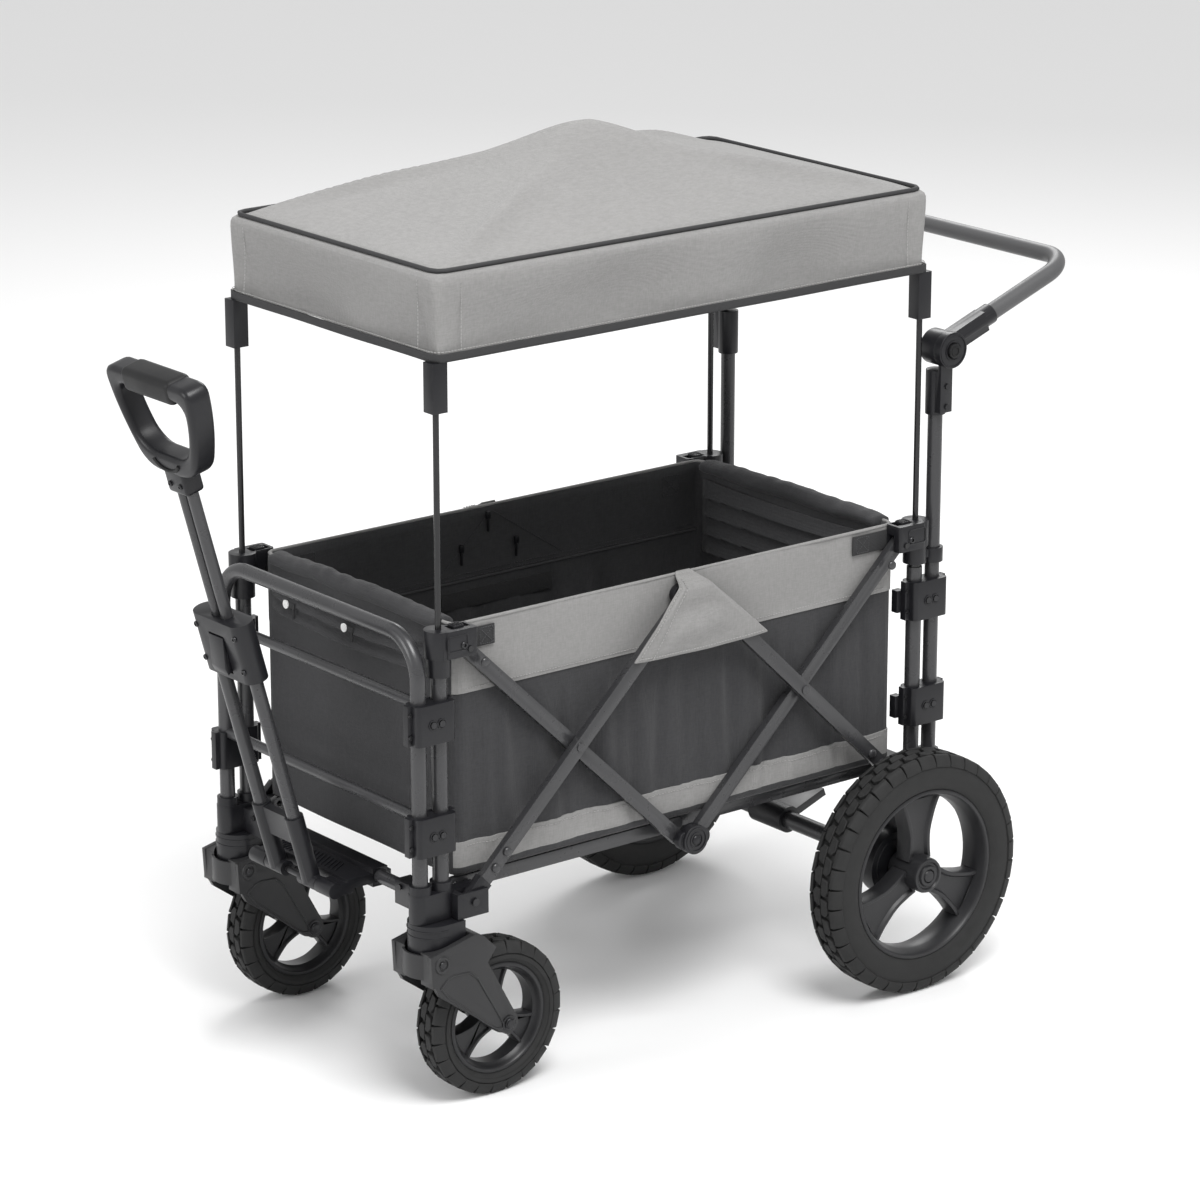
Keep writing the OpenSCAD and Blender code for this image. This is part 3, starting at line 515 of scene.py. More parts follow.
class Form:
    """A mesh being shaped, in metres in the wagon's frame."""

    def __init__(self) -> None:
        """Start with nothing."""
        self.bm = bmesh.new()
        self.slot_index = 0

    def _sharp(self, part: bmesh.types.BMesh, angle: float) -> list[bmesh.types.BMEdge]:
        """Edges that fold by more than an angle, in degrees."""
        limit = math.radians(angle)
        return [e for e in part.edges if len(e.link_faces) == 2 and e.calc_face_angle(0.0) > limit]

    def _take(self, part: bmesh.types.BMesh) -> Form:
        """Use up a mesh by adding it to this one.

        Args:
            part: The mesh, which is freed.

        Returns:
            This form.
        """
        mesh = bpy.data.meshes.new("part")
        part.to_mesh(mesh)
        part.free()
        self.bm.from_mesh(mesh)
        bpy.data.meshes.remove(mesh)
        return self

    def add(
        self,
        part: bmesh.types.BMesh,
        edge: float = 0.0,
        segments: int = 2,
        place: Matrix | None = None,
        angle: float = 28,
    ) -> Form:
        """Join a closed shape to this one, with its corners rounded.

        Args:
            part: The shape, which is used up.
            edge: Width of the rounding; 0 leaves the corners sharp.
            segments: Steps across the rounding.
            place: Where the shape goes.
            angle: Corners that fold by more degrees than this are rounded.

        Returns:
            This form.
        """
        bmesh.ops.remove_doubles(part, verts=part.verts, dist=1e-6)
        bmesh.ops.recalc_face_normals(part, faces=part.faces)
        sharp = self._sharp(part, angle) if edge else []
        if sharp:
            bmesh.ops.bevel(
                part, geom=sharp, offset=edge, offset_type="OFFSET", segments=segments,
                profile=0.5, affect="EDGES", clamp_overlap=True, material=-1,
            )
        if place is not None:
            bmesh.ops.transform(part, matrix=place, verts=part.verts)
            if place.determinant() < 0:
                bmesh.ops.reverse_faces(part, faces=part.faces)
        for face in part.faces:
            face.material_index = self.slot_index
        return self._take(part)

    def block(self, low: Point, high: Point, edge: float = 0.0, segments: int = 2, place: Matrix | None = None) -> Form:
        """Add a block with rounded corners.

        Args:
            low: Lowest corner.
            high: Highest corner.
            edge: Width of the rounding.
            segments: Steps across the rounding.
            place: Where the block goes.

        Returns:
            This form.
        """
        part = bmesh.new()
        bmesh.ops.create_cube(part, size=1.0)
        size = Vector(high) - Vector(low)
        bmesh.ops.scale(part, vec=size, verts=part.verts)
        bmesh.ops.translate(part, vec=(Vector(high) + Vector(low)) / 2, verts=part.verts)
        return self.add(part, edge, segments, place)

    def prism(
        self, outline: Outline, across: Across, low: float, high: float, edge: float = 0.0,
        segments: int = 2, place: Matrix | None = None,
    ) -> Form:
        """Add a flat outline made thick.

        Args:
            outline: Corners in order.
            across: Direction of the thickness.
            low: Where the thickness starts.
            high: Where it ends.
            edge: Width of the rounding.
            segments: Steps across the rounding.
            place: Where the shape goes.

        Returns:
            This form.
        """
        part = bmesh.new()
        face = part.faces.new([part.verts.new(across.point(a, b, low)) for a, b in outline])
        made = bmesh.ops.extrude_face_region(part, geom=[face])
        top = [g for g in made["geom"] if isinstance(g, bmesh.types.BMVert)]
        bmesh.ops.translate(part, vec=across.point(0, 0, high - low), verts=top)
        return self.add(part, edge, segments, place)

    def turned(
        self, profile: Outline, across: Across, centre: Point, steps: int = 40, ring: bool = False,
        edge: float = 0.0,
    ) -> Form:
        """Add a shape spun from a profile.

        Args:
            profile: Radius and place along the axis, in order.
            across: The axis.
            centre: A point on the axis that the profile is measured from.
            steps: Facets round the axis.
            ring: Whether the profile closes on itself rather than on the axis.
            edge: Width of the rounding of its corners.

        Returns:
            This form.
        """
        part = bmesh.new()
        verts = [part.verts.new((radius, 0.0, along)) for radius, along in profile]
        pairs = list(zip(verts, verts[1:])) + ([(verts[-1], verts[0])] if ring else [])
        edges = [part.edges.new(pair) for pair in pairs]
        bmesh.ops.spin(
            part, geom=[*verts, *edges], cent=(0, 0, 0), axis=(0, 0, 1), dvec=(0, 0, 0),
            angle=math.tau, steps=steps, use_merge=True,
        )
        return self.add(part, edge, 2, Matrix.Translation(centre) @ across.turn, angle=20)

    def faced(
        self, profile: Outline, sign: int, centre: Point, steps: int, edge: float = 0.0, ring: bool = False
    ) -> Form:
        """Turn a profile that stands on a face looking to one side of the wagon.

        Args:
            profile: Radii, and distances out from the face.
            sign: 1 for a face that looks along +Y, -1 for the other.
            centre: Where the axis meets the face.
            steps: Facets round it.
            edge: Width of the rounding.
            ring: Whether the profile closes on itself.

        Returns:
            This form.
        """
        return self.turned([(r, sign * a) for r, a in profile], Across.Y, centre, steps=steps, ring=ring, edge=edge)

    def swept(
        self, path: Sequence[Point], radius: float, segments: int = 14, flat: tuple[float, float] = (1.0, 1.0),
        up: Point = (0, 0, 1), closed: bool = False,
    ) -> Form:
        """Add a tube or strap along a path.

        Args:
            path: Points of the centreline.
            radius: Radius of the section.
            segments: Facets round it.
            flat: Factors on the section's width and height.
            up: The direction the section's height starts in.
            closed: Whether the path closes on itself.

        Returns:
            This form.
        """
        points = [Vector(p) for p in path]
        count = len(points)
        frames: list[Matrix] = []
        height = Vector(up)
        for i, point in enumerate(points):
            after = points[(i + 1) % count] if closed or i + 1 < count else point
            before = points[i - 1] if closed or i else point
            ahead = (after - before).normalized()
            height = (height - ahead * height.dot(ahead)).normalized()
            width = height.cross(ahead)
            turn = Matrix((width, height, ahead)).transposed().to_4x4()
            frames.append(Matrix.Translation(point) @ turn)
        part = bmesh.new()
        bmesh.ops.create_circle(part, cap_ends=False, radius=radius, segments=segments)
        bmesh.ops.scale(part, vec=(flat[0], flat[1], 1), verts=part.verts)
        bmesh.ops.transform(part, matrix=frames[0], verts=part.verts)
        first = list(part.edges)
        edges = first
        for before_frame, frame in zip(frames, frames[1:]):
            fresh, edges = extruded(part, edges)
            bmesh.ops.transform(part, matrix=frame @ before_frame.inverted(), verts=list(fresh))
        if closed:
            bmesh.ops.bridge_loops(part, edges=first + edges)
        else:
            bmesh.ops.edgeloop_fill(part, edges=first)
            bmesh.ops.edgeloop_fill(part, edges=edges)
        return self.add(part)

    def cloth(
        self, columns: int, rows: int, place: Callable[[float, float], Point], outward: Point,
        finish_of: Callable[[Vector], int] | None = None,
    ) -> Form:
        """Add an open sheet of cloth.

        Args:
            columns: Cells across.
            rows: Cells along.
            place: Where the sheet's point at (0 to 1, 0 to 1) goes.
            outward: Direction that most of its faces should look in.
            finish_of: Index of the finish for a face's centre.

        Returns:
            This form.
        """
        part = bmesh.new()
        bmesh.ops.create_grid(part, x_segments=columns, y_segments=rows, size=0.5)
        for vert in part.verts:
            vert.co = place(vert.co.x + 0.5, vert.co.y + 0.5)
        return self.sheet(part, outward, finish_of)

    def sheet(
        self, part: bmesh.types.BMesh, outward: Point, finish_of: Callable[[Vector], int] | None = None
    ) -> Form:
        """Add an open sheet with its faces looking one way.

        Args:
            part: The sheet, which is used up.
            outward: Direction that most of its faces should look in.
            finish_of: Index of the finish for a face's centre.

        Returns:
            This form.
        """
        bmesh.ops.recalc_face_normals(part, faces=part.faces)
        total = Vector((0, 0, 0))
        for face in part.faces:
            total += face.normal * face.calc_area()
            face.material_index = finish_of(face.calc_center_median()) if finish_of else self.slot_index
        if total.dot(Vector(outward)) < 0:
            bmesh.ops.reverse_faces(part, faces=part.faces)
        return self._take(part)

    def stitches(self, path: Sequence[Point], pitch: float = 0.0042, size: float = 0.0005) -> Form:
        """Add a row of sewing stitches along a path.

        Args:
            path: Points that the seam follows.
            pitch: Distance from stitch to stitch.
            size: Radius of the thread.

        Returns:
            This form.
        """
        points = [Vector(p) for p in path]
        part = bmesh.new()
        left = pitch / 2
        for start, end in zip(points, points[1:]):
            run = end - start
            if run.length < 1e-9:
                continue
            turn = run.to_track_quat("Z", "Y").to_matrix().to_4x4()
            while left < run.length:
                spot = start + run.normalized() * left
                bmesh.ops.create_cone(
                    part, cap_ends=True, segments=6, radius1=size, radius2=size, depth=pitch * 0.62,
                    matrix=Matrix.Translation(spot) @ turn,
                )
                left += pitch
            left -= run.length
        for face in part.faces:
            face.material_index = self.slot_index
        return self._take(part)

    def copied(self, node: str, edge: float, segments: int = 2, angle: float = 35) -> Form:
        """Add a copy of a frame node, with its sharp corners rounded.

        Args:
            node: The node's name.
            edge: Width of the rounding.
            segments: Steps across the rounding.
            angle: Corners that fold by more degrees than this are rounded.

        Returns:
            This form.
        """
        part = bmesh.new()
        part.from_mesh(bpy.data.objects[node].data)
        bmesh.ops.remove_doubles(part, verts=part.verts, dist=2e-6)
        bmesh.ops.dissolve_limit(part, angle_limit=math.radians(0.6), verts=part.verts, edges=part.edges)
        sharp = self._sharp(part, angle)
        bmesh.ops.bevel(
            part, geom=sharp, offset=edge, offset_type="OFFSET", segments=segments,
            profile=0.5, affect="EDGES", clamp_overlap=True, material=-1,
        )
        for face in part.faces:
            face.material_index = self.slot_index
        return self._take(part)

    def cut_above(self, height: float) -> Form:
        """Cut off everything above a height and close the cut.

        Args:
            height: Where to cut.

        Returns:
            This form.
        """
        made = bmesh.ops.bisect_plane(
            self.bm, geom=[*self.bm.verts, *self.bm.edges, *self.bm.faces], dist=1e-7,
            plane_co=(0, 0, height), plane_no=(0, 0, 1), clear_outer=True,
        )
        rim = [g for g in made["geom_cut"] if isinstance(g, bmesh.types.BMEdge)]
        bmesh.ops.holes_fill(self.bm, edges=rim, sides=0)
        return self

    def around(self, across: Across, centre: Point, count: int) -> Form:
        """Repeat everything so far evenly round an axis.

        Args:
            across: The axis.
            centre: A point on it.
            count: How many there are in all.

        Returns:
            This form.
        """
        bmesh.ops.spin(
            self.bm, geom=[*self.bm.verts, *self.bm.edges, *self.bm.faces], cent=centre,
            axis=across.point(0, 0, 1), dvec=(0, 0, 0), angle=math.tau * (count - 1) / count,
            steps=count - 1, use_duplicate=True, use_merge=False,
        )
        return self

    def joined(self, other: Form, place: Matrix | None = None) -> Form:
        """Take in another form's mesh.

        Args:
            other: The form, which is used up.
            place: Where it is moved first.

        Returns:
            This form.
        """
        if place is not None:
            bmesh.ops.transform(other.bm, matrix=place, verts=other.bm.verts)
        return self._take(other.bm)

    def piece(
        self, name: str, body: str, finishes: Sequence[Finish], replaces: Iterable[str] = (),
        smooth: float = 32, thick: float = 0.0, inward: float = -1.0, rounds: int = 0,
    ) -> bpy.types.Object:
        """Finish the mesh as a piece of the wagon.

        Args:
            name: The piece's name.
            body: The frame body that it rides on.
            finishes: Its finishes, in the order of the faces' indices.
            replaces: Frame nodes that it stands for.
            smooth: Corners that fold by more degrees than this stay crisp.
            thick: Thickness given to a sheet.
            inward: Which side the thickness grows to, from -1 to 1.
            rounds: Levels of subdivision.

        Returns:
            The Blender object.
        """
        mesh = bpy.data.meshes.new(name)
        self.bm.to_mesh(mesh)
        self.bm.free()
        for finish in finishes:
            mesh.materials.append(finish.material())
        mesh.shade_smooth()
        mesh.set_sharp_from_angle(angle=math.radians(smooth))
        made = bpy.data.objects.new(name, mesh)
        bpy.context.scene.collection.objects.link(made)
        if rounds:
            level = made.modifiers.new("rounds", "SUBSURF")
            level.levels = rounds
            level.render_levels = rounds
        if thick:
            wall = made.modifiers.new("cloth", "SOLIDIFY")
            wall.thickness = thick
            wall.offset = inward
        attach(made, body)
        if replaces:
            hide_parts(*replaces)
        LOG.info("%s: %d faces on %s", name, len(mesh.polygons), body)
        return made


def disc_profile(radius: float, height: float, edge: float, low: float = 0.0) -> Outline:
    """Profile of a solid disc with a rounded rim, standing on low.

    Args:
        radius: Radius of the disc.
        height: Its height.
        edge: Width of the rounding.
        low: Where it stands.

    Returns:
        Radius and place along the axis, in order.
    """
    return [
        (0.0, low), (radius, low), (radius, low + height - edge), (radius - edge * 0.3, low + height - edge * 0.3),
        (radius - edge, low + height), (0.0, low + height),
    ]


def screw_profile(radius: float, height: float) -> Outline:
    """Profile of a domed screw head with a socket, standing on 0.

    Args:
        radius: Radius of the head.
        height: Its height.

    Returns:
        The profile.
    """
    return [
        (0.0, -height * 0.5), (radius, -height * 0.5), (radius, height * 0.35), (radius * 0.85, height * 0.8),
        (radius * 0.6, height), (radius * 0.48, height), (radius * 0.44, height * 0.1), (0.0, height * 0.1),
    ]


def rivet_profile(radius: float, height: float) -> Outline:
    """Profile of a domed rivet head, standing on 0.

    Args:
        radius: Radius of the head.
        height: Its height.

    Returns:
        The profile.
    """
    return [
        (0.0, -height * 0.5), (radius, -height * 0.5), (radius, height * 0.25), (radius * 0.9, height * 0.6),
        (radius * 0.6, height * 0.9), (radius * 0.25, height), (0.0, height),
    ]


def raised_ring(radius: float, foot: float, crest: float, sunk: float, height: float = 0.0009) -> Outline:
    """Profile of a low ring, wider at its foot than at its crest.

    Args:
        radius: Radius of its middle.
        foot: Half its width at the foot.
        crest: Half its width at the crest.
        sunk: How far the foot reaches into the face.
        height: Height of the crest.

    Returns:
        Radii, and distances out from the face.
    """
    return [(radius - foot, -sunk), (radius - crest, height), (radius + crest, height), (radius + foot, -sunk)]


def rounded_rectangle(half_x: float, half_y: float, corner: float, steps: int = 6) -> list[tuple[float, float]]:
    """Outline of a rectangle with round corners, round the origin.

    Args:
        half_x: Half its length.
        half_y: Half its width.
        corner: Radius of its corners.
        steps: Points per corner.

    Returns:
        The outline, anticlockwise.
    """
    points = []
    for quarter, (sx, sy) in enumerate(((1, 1), (-1, 1), (-1, -1), (1, -1))):
        for i in range(steps + 1):
            angle = math.radians(90 * (quarter + i / steps))
            points.append((
                sx * (half_x - corner) + corner * math.cos(angle),
                sy * (half_y - corner) + corner * math.sin(angle),
            ))
    return points


def along_loop(loop: Sequence[tuple[float, float]], count: int) -> list[tuple[float, float]]:
    """Evenly spaced points round a closed outline.

    Args:
        loop: The outline.
        count: How many points.

    Returns:
        The points.
    """
    points = [Vector(p) for p in loop] + [Vector(loop[0])]
    lengths = [(b - a).length for a, b in zip(points, points[1:])]
    total = sum(lengths)
    found = []
    index, passed = 0, 0.0
    for i in range(count):
        target = total * i / count
        while passed + lengths[index] < target:
            passed += lengths[index]
            index += 1
        spot = points[index].lerp(points[index + 1], (target - passed) / max(lengths[index], 1e-9))
        found.append((spot.x, spot.y))
    return found


def crossed_square(
    middle_x: float, middle_z: float, half: float
) -> list[tuple[tuple[float, float], tuple[float, float]]]:
    """The seams of a bar tack: a square with both of its diagonals.

    Args:
        middle_x: Place of its middle along the wagon.
        middle_z: Height of its middle.
        half: Half its side.

    Returns:
        The start and the end of each seam.
    """
    left, right, low, high = middle_x - half, middle_x + half, middle_z - half, middle_z + half
    corners = [(left, low), (right, low), (right, high), (left, high)]
    return [*zip(corners, corners[1:] + corners[:1]), (corners[0], corners[2]), (corners[1], corners[3])]


def ease(value: float) -> float:
    """A smooth step from 0 to 1."""
    value = min(1.0, max(0.0, value))
    return value * value * (3 - 2 * value)


def ripple(x: float, y: float, z: float) -> float:
    """Smooth noise from about -1 to 1."""
    return noise.noise(Vector((x, y, z))) * 1.6


def dressed(finish: Finish, *nodes: str) -> None:
    """Give frame nodes a finish.

    Args:
        finish: The finish.
        nodes: Names of the nodes.
    """
    for node in nodes:
        mesh = bpy.data.objects[node].data
        mesh.materials.clear()
        mesh.materials.append(finish.material())
        mesh.shade_smooth()
        mesh.set_sharp_from_angle(angle=math.radians(32))
        LOG.info("%s: finished as %s", node, finish.name)


# ---------- cloth ----------


def corner_rounded(x: float, y: float, half_x: float, half_y: float, corner: float) -> tuple[float, float]:
    """Pull a point of a rectangle in to its rounded corner.

    Args:
        x: The point's first number.
        y: The point's second number.
        half_x: Half the rectangle's length.
        half_y: Half its width.
        corner: Radius of its corners.

    Returns:
        The point, moved only near a corner.
    """
    over_x = abs(x) - (half_x - corner)
    over_y = abs(y) - (half_y - corner)
    if over_x <= 0 or over_y <= 0:
        return x, y
    reach = math.hypot(over_x, over_y)
    if reach <= corner:
        return x, y
    pull = corner / reach
    return (
        math.copysign(half_x - corner + over_x * pull, x),
        math.copysign(half_y - corner + over_y * pull, y),
    )


def puffed(piece: bpy.types.Object, pressure: float, cap: float, voxel: float = 0.005) -> None:
    """Swell a padded piece with a cloth simulation, then smooth it.

    Args:
        piece: The piece, at rest and unridden.
        pressure: Air pressure inside it.
        cap: The furthest that a point may move, in metres.
        voxel: Cell size of the remesh.
    """
    bpy.context.view_layer.objects.active = piece
    remesh = piece.modifiers.new("even", "REMESH")
    remesh.mode = "VOXEL"
    remesh.voxel_size = voxel
    graph = bpy.context.evaluated_depsgraph_get()
    even = bpy.data.meshes.new_from_object(piece.evaluated_get(graph))
    piece.modifiers.clear()
    old = piece.data
    even.materials.clear()
    for material in old.materials:
        even.materials.append(material)
    piece.data = even
    bpy.data.meshes.remove(old)
    start = [v.co.copy() for v in piece.data.vertices]
    cloth = piece.modifiers.new("cloth", "CLOTH")
    cloth.settings.use_pressure = True
    cloth.settings.uniform_pressure_force = pressure
    cloth.settings.effector_weights.gravity = 0.0
    cloth.settings.quality = 5
    scene = bpy.context.scene
    for frame in range(1, 21):
        scene.frame_set(frame)
    graph = bpy.context.evaluated_depsgraph_get()
    settled = [v.co.copy() for v in piece.evaluated_get(graph).data.vertices]
    piece.modifiers.clear()
    for vert, before, after in zip(piece.data.vertices, start, settled):
        step = after - before
        if step.length > cap:
            step = step.normalized() * cap
        vert.co = before + step
    scene.frame_set(1)


@dataclass
class CanopyCover:
    """The sun roof: one tensioned sheet with a straight valance, piped round its edge."""

    corner: float = 0.013
    crown_radius: float = 0.085
    crown_share: float = 0.17
    slope_power: float = 1.02
    bluntness: float = 0.10
    shoulder: float = 0.008
    seam_from_corner: float = 0.034
    low: Vector = field(default_factory=lambda: Vector(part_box("canopy_cover")[0]))
    high: Vector = field(default_factory=lambda: Vector(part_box("canopy_cover")[1]))

    @property
    def half_x(self) -> float:
        """Half the cover's length."""
        return self.high.x

    @property
    def half_y(self) -> float:
        """Half the cover's width."""
        return self.high.y

    @property
    def edge_z(self) -> float:
        """Height of the roof's edge."""
        return self.low.z + 0.094

    def roof_height(self, x: float, y: float) -> float:
        """Height of the roof over a point.

        Args:
            x: The point's place along the wagon.
            y: Its place across the wagon.

        Returns:
            The height, with the crown over the ribs and a slack between them.
        """
        along, across = abs(x) / self.half_x, abs(y) / self.half_y
        span = min(1.0, (along**14 + across**14) ** (1 / 14))
        blunt = (math.hypot(span, self.bluntness) - self.bluntness) / (math.hypot(1.0, self.bluntness) - self.bluntness)
        crown = math.exp(-((math.hypot(x, y) / self.crown_radius) ** 2))
        rise = (1 - self.crown_share) * (1 - min(1.0, blunt)) ** self.slope_power + self.crown_share * crown
        reach = max(0.0, min(1.0, (span - 0.30) / 0.68))
        hip = 0.0075 * math.exp(-(((along - across) / 0.055) ** 2)) * math.sin(math.pi * reach)
        valley = 0.0024 * math.exp(-(((abs(along - across) - 0.16) / 0.08) ** 2)) * math.sin(math.pi * reach)
        crease = 0.0012 * ripple(x * 9, y * 14, 0.3) * math.sin(math.pi * span)
        return self.edge_z + 0.0025 + (self.high.z - self.edge_z - 0.003) * rise + hip - valley + crease

    def valance(self, x: float, y: float, fall: float) -> tuple[float, float]:
        """A valance point, pulled in between the corners and gently rippled.

        Args:
            x: Place along the wagon on the cover's outline.
            y: Place across the wagon on the outline.
            fall: Share of the way down, from 0 to 1.

        Returns:
            The point's place along and across the wagon.
        """
        free = min(1.0, 8 * max(0.0, 1 - min(abs(x) / self.half_x, abs(y) / self.half_y)))
        pull = free * (0.0022 * math.sin(math.pi * min(1.0, fall * 1.1)) + 0.0011 * ripple(x * 7, y * 9, fall * 1.3))
        return x * (1 - pull / self.half_x), y * (1 - pull / self.half_y)

    def sheet(self) -> None:
        """Sew the roof and its valance as one sheet."""
        part = bmesh.new()
        bmesh.ops.create_grid(part, x_segments=112, y_segments=72, size=0.5)
        inner_x, inner_y = self.half_x - self.shoulder, self.half_y - self.shoulder
        for vert in part.verts:
            x, y = corner_rounded(vert.co.x * 2 * inner_x, vert.co.y * 2 * inner_y, inner_x, inner_y, self.corner)
            vert.co = (x, y, self.roof_height(x, y))
        edges = [e for e in part.edges if e.is_boundary]
        for vert in {v for e in edges for v in e.verts}:
            vert.co.z = self.edge_z + 0.0025
        drop = self.edge_z - self.low.z
        steps = [(0.0045, 0.002), (0.0015, -0.0005), (0.0003, -0.004)]
        steps += [(0.0, -0.010 - (drop - 0.010) * i / 10) for i in range(11)]
        for inset, height in steps:
            fresh, edges = extruded(part, edges)
            fall = max(0.0, -height / drop)
            for vert in fresh:
                share_x = (self.half_x - inset) / inner_x
                share_y = (self.half_y - inset) / inner_y
                vert.co.x, vert.co.y = self._placed(vert.co, inner_x, inner_y, share_x, share_y, fall)
                vert.co.z = self.edge_z + height
            inner_x, inner_y = self.half_x - inset, self.half_y - inset
        form = Form()
        form.sheet(part, (0, 0, 1))
        cover = form.piece("canopy_sheet", "upper_hubs", [LIGHT_CANVAS], ["canopy_cover"], smooth=50, thick=0.0013)
        self.gather(cover)

    def _placed(
        self, point: Vector, old_x: float, old_y: float, share_x: float, share_y: float, fall: float
    ) -> tuple[float, float]:
        """Where a valance vertex goes when its ring is dropped.

        Args:
            point: Where it was in the ring above.
            old_x: Half the length of the ring above.
            old_y: Half its width.
            share_x: Growth along the wagon.
            share_y: Growth across it.
            fall: Share of the way down, from 0 to 1.

        Returns:
            Its place along and across the wagon.
        """
        x = max(-old_x, min(old_x, point.x)) * share_x
        y = max(-old_y, min(old_y, point.y)) * share_y
        return self.valance(x, y, fall) if fall > 0.1 else (x, y)

    def gather(self, piece: bpy.types.Object) -> None:
        """Give a piece of the cover its own copy of its mesh."""
        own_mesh(piece)

    def ring(self, inset: float, height: float, count: int = 220) -> list[Point]:
        """Points round the cover's outline.

        Args:
            inset: How far inside the outline.
            height: Their height.
            count: How many.

        Returns:
            The points.
        """
        loop = rounded_rectangle(self.half_x - inset, self.half_y - inset, self.corner)
        return [(x, y, height) for x, y in along_loop(loop, count)]

    def trim(self) -> None:
        """Add the piping, the hem tape and the seams."""
        form = Form()
        form.swept(self.ring(0.0075, self.edge_z + 0.0052), 0.0027, 10, closed=True)
        self.gather(form.piece("canopy_piping", "upper_hubs", [PIPING_TAPE], smooth=60))
        tape = Form()
        outline = rounded_rectangle(self.half_x + 0.0006, self.half_y + 0.0006, self.corner)
        count = 240
        loop = along_loop(outline, count)
        part = bmesh.new()
        bmesh.ops.create_circle(part, cap_ends=False, radius=1.0, segments=count)
        part.verts.ensure_lookup_table()
        drop = self.edge_z - self.low.z
        for vert, (x, y) in zip(part.verts, loop):
            vert.co = (*self.valance(x, y, 1.0), self.low.z - 0.0008)
        edges = list(part.edges)
        for rise in (0.003, 0.0085, 0.0092):
            fresh, edges = extruded(part, edges)
            for vert in fresh:
                vert.co.z = self.low.z - 0.0008 + rise
        tape.sheet(part, (0, 0, 0))
        self.gather(tape.piece("canopy_hem_tape", "upper_hubs", [PIPING_TAPE], smooth=60, thick=0.0024, inward=0.0))
        seams = Form()
        for sx in (-1, 1):
            for sy in (-1, 1):
                for x, y in (
                    (sx * (self.half_x - self.seam_from_corner), sy * (self.half_y + 0.0002)),
                    (sx * (self.half_x + 0.0002), sy * (self.half_y - self.seam_from_corner)),
                ):
                    run = []
                    for i in range(9):
                        fall = (i + 0.6) / 9.6
                        px, py = self.valance(x, y, fall)
                        run.append((px, py, self.edge_z - drop * fall))
                    seams.stitches(run)
        seams.stitches([*self.ring(0.0, self.low.z + 0.0105, 240), self.ring(0.0, self.low.z + 0.0105, 240)[0]])
        self.gather(seams.piece("canopy_stitching", "upper_hubs", [LIGHT_THREAD]))

    def ribs(self) -> None:
        """Finish the ribs under the roof, which fold up with it."""
        rods = Form().copied("canopy_ribs", 0.0003, 1)
        self.gather(rods.piece("canopy_rib_rods", "upper_hubs", [ROD_BLACK], ["canopy_ribs"], smooth=50))

    def build(self) -> None:
        """Make the ribs, the cover and its trim."""
        self.ribs()
        self.sheet()
        self.trim()


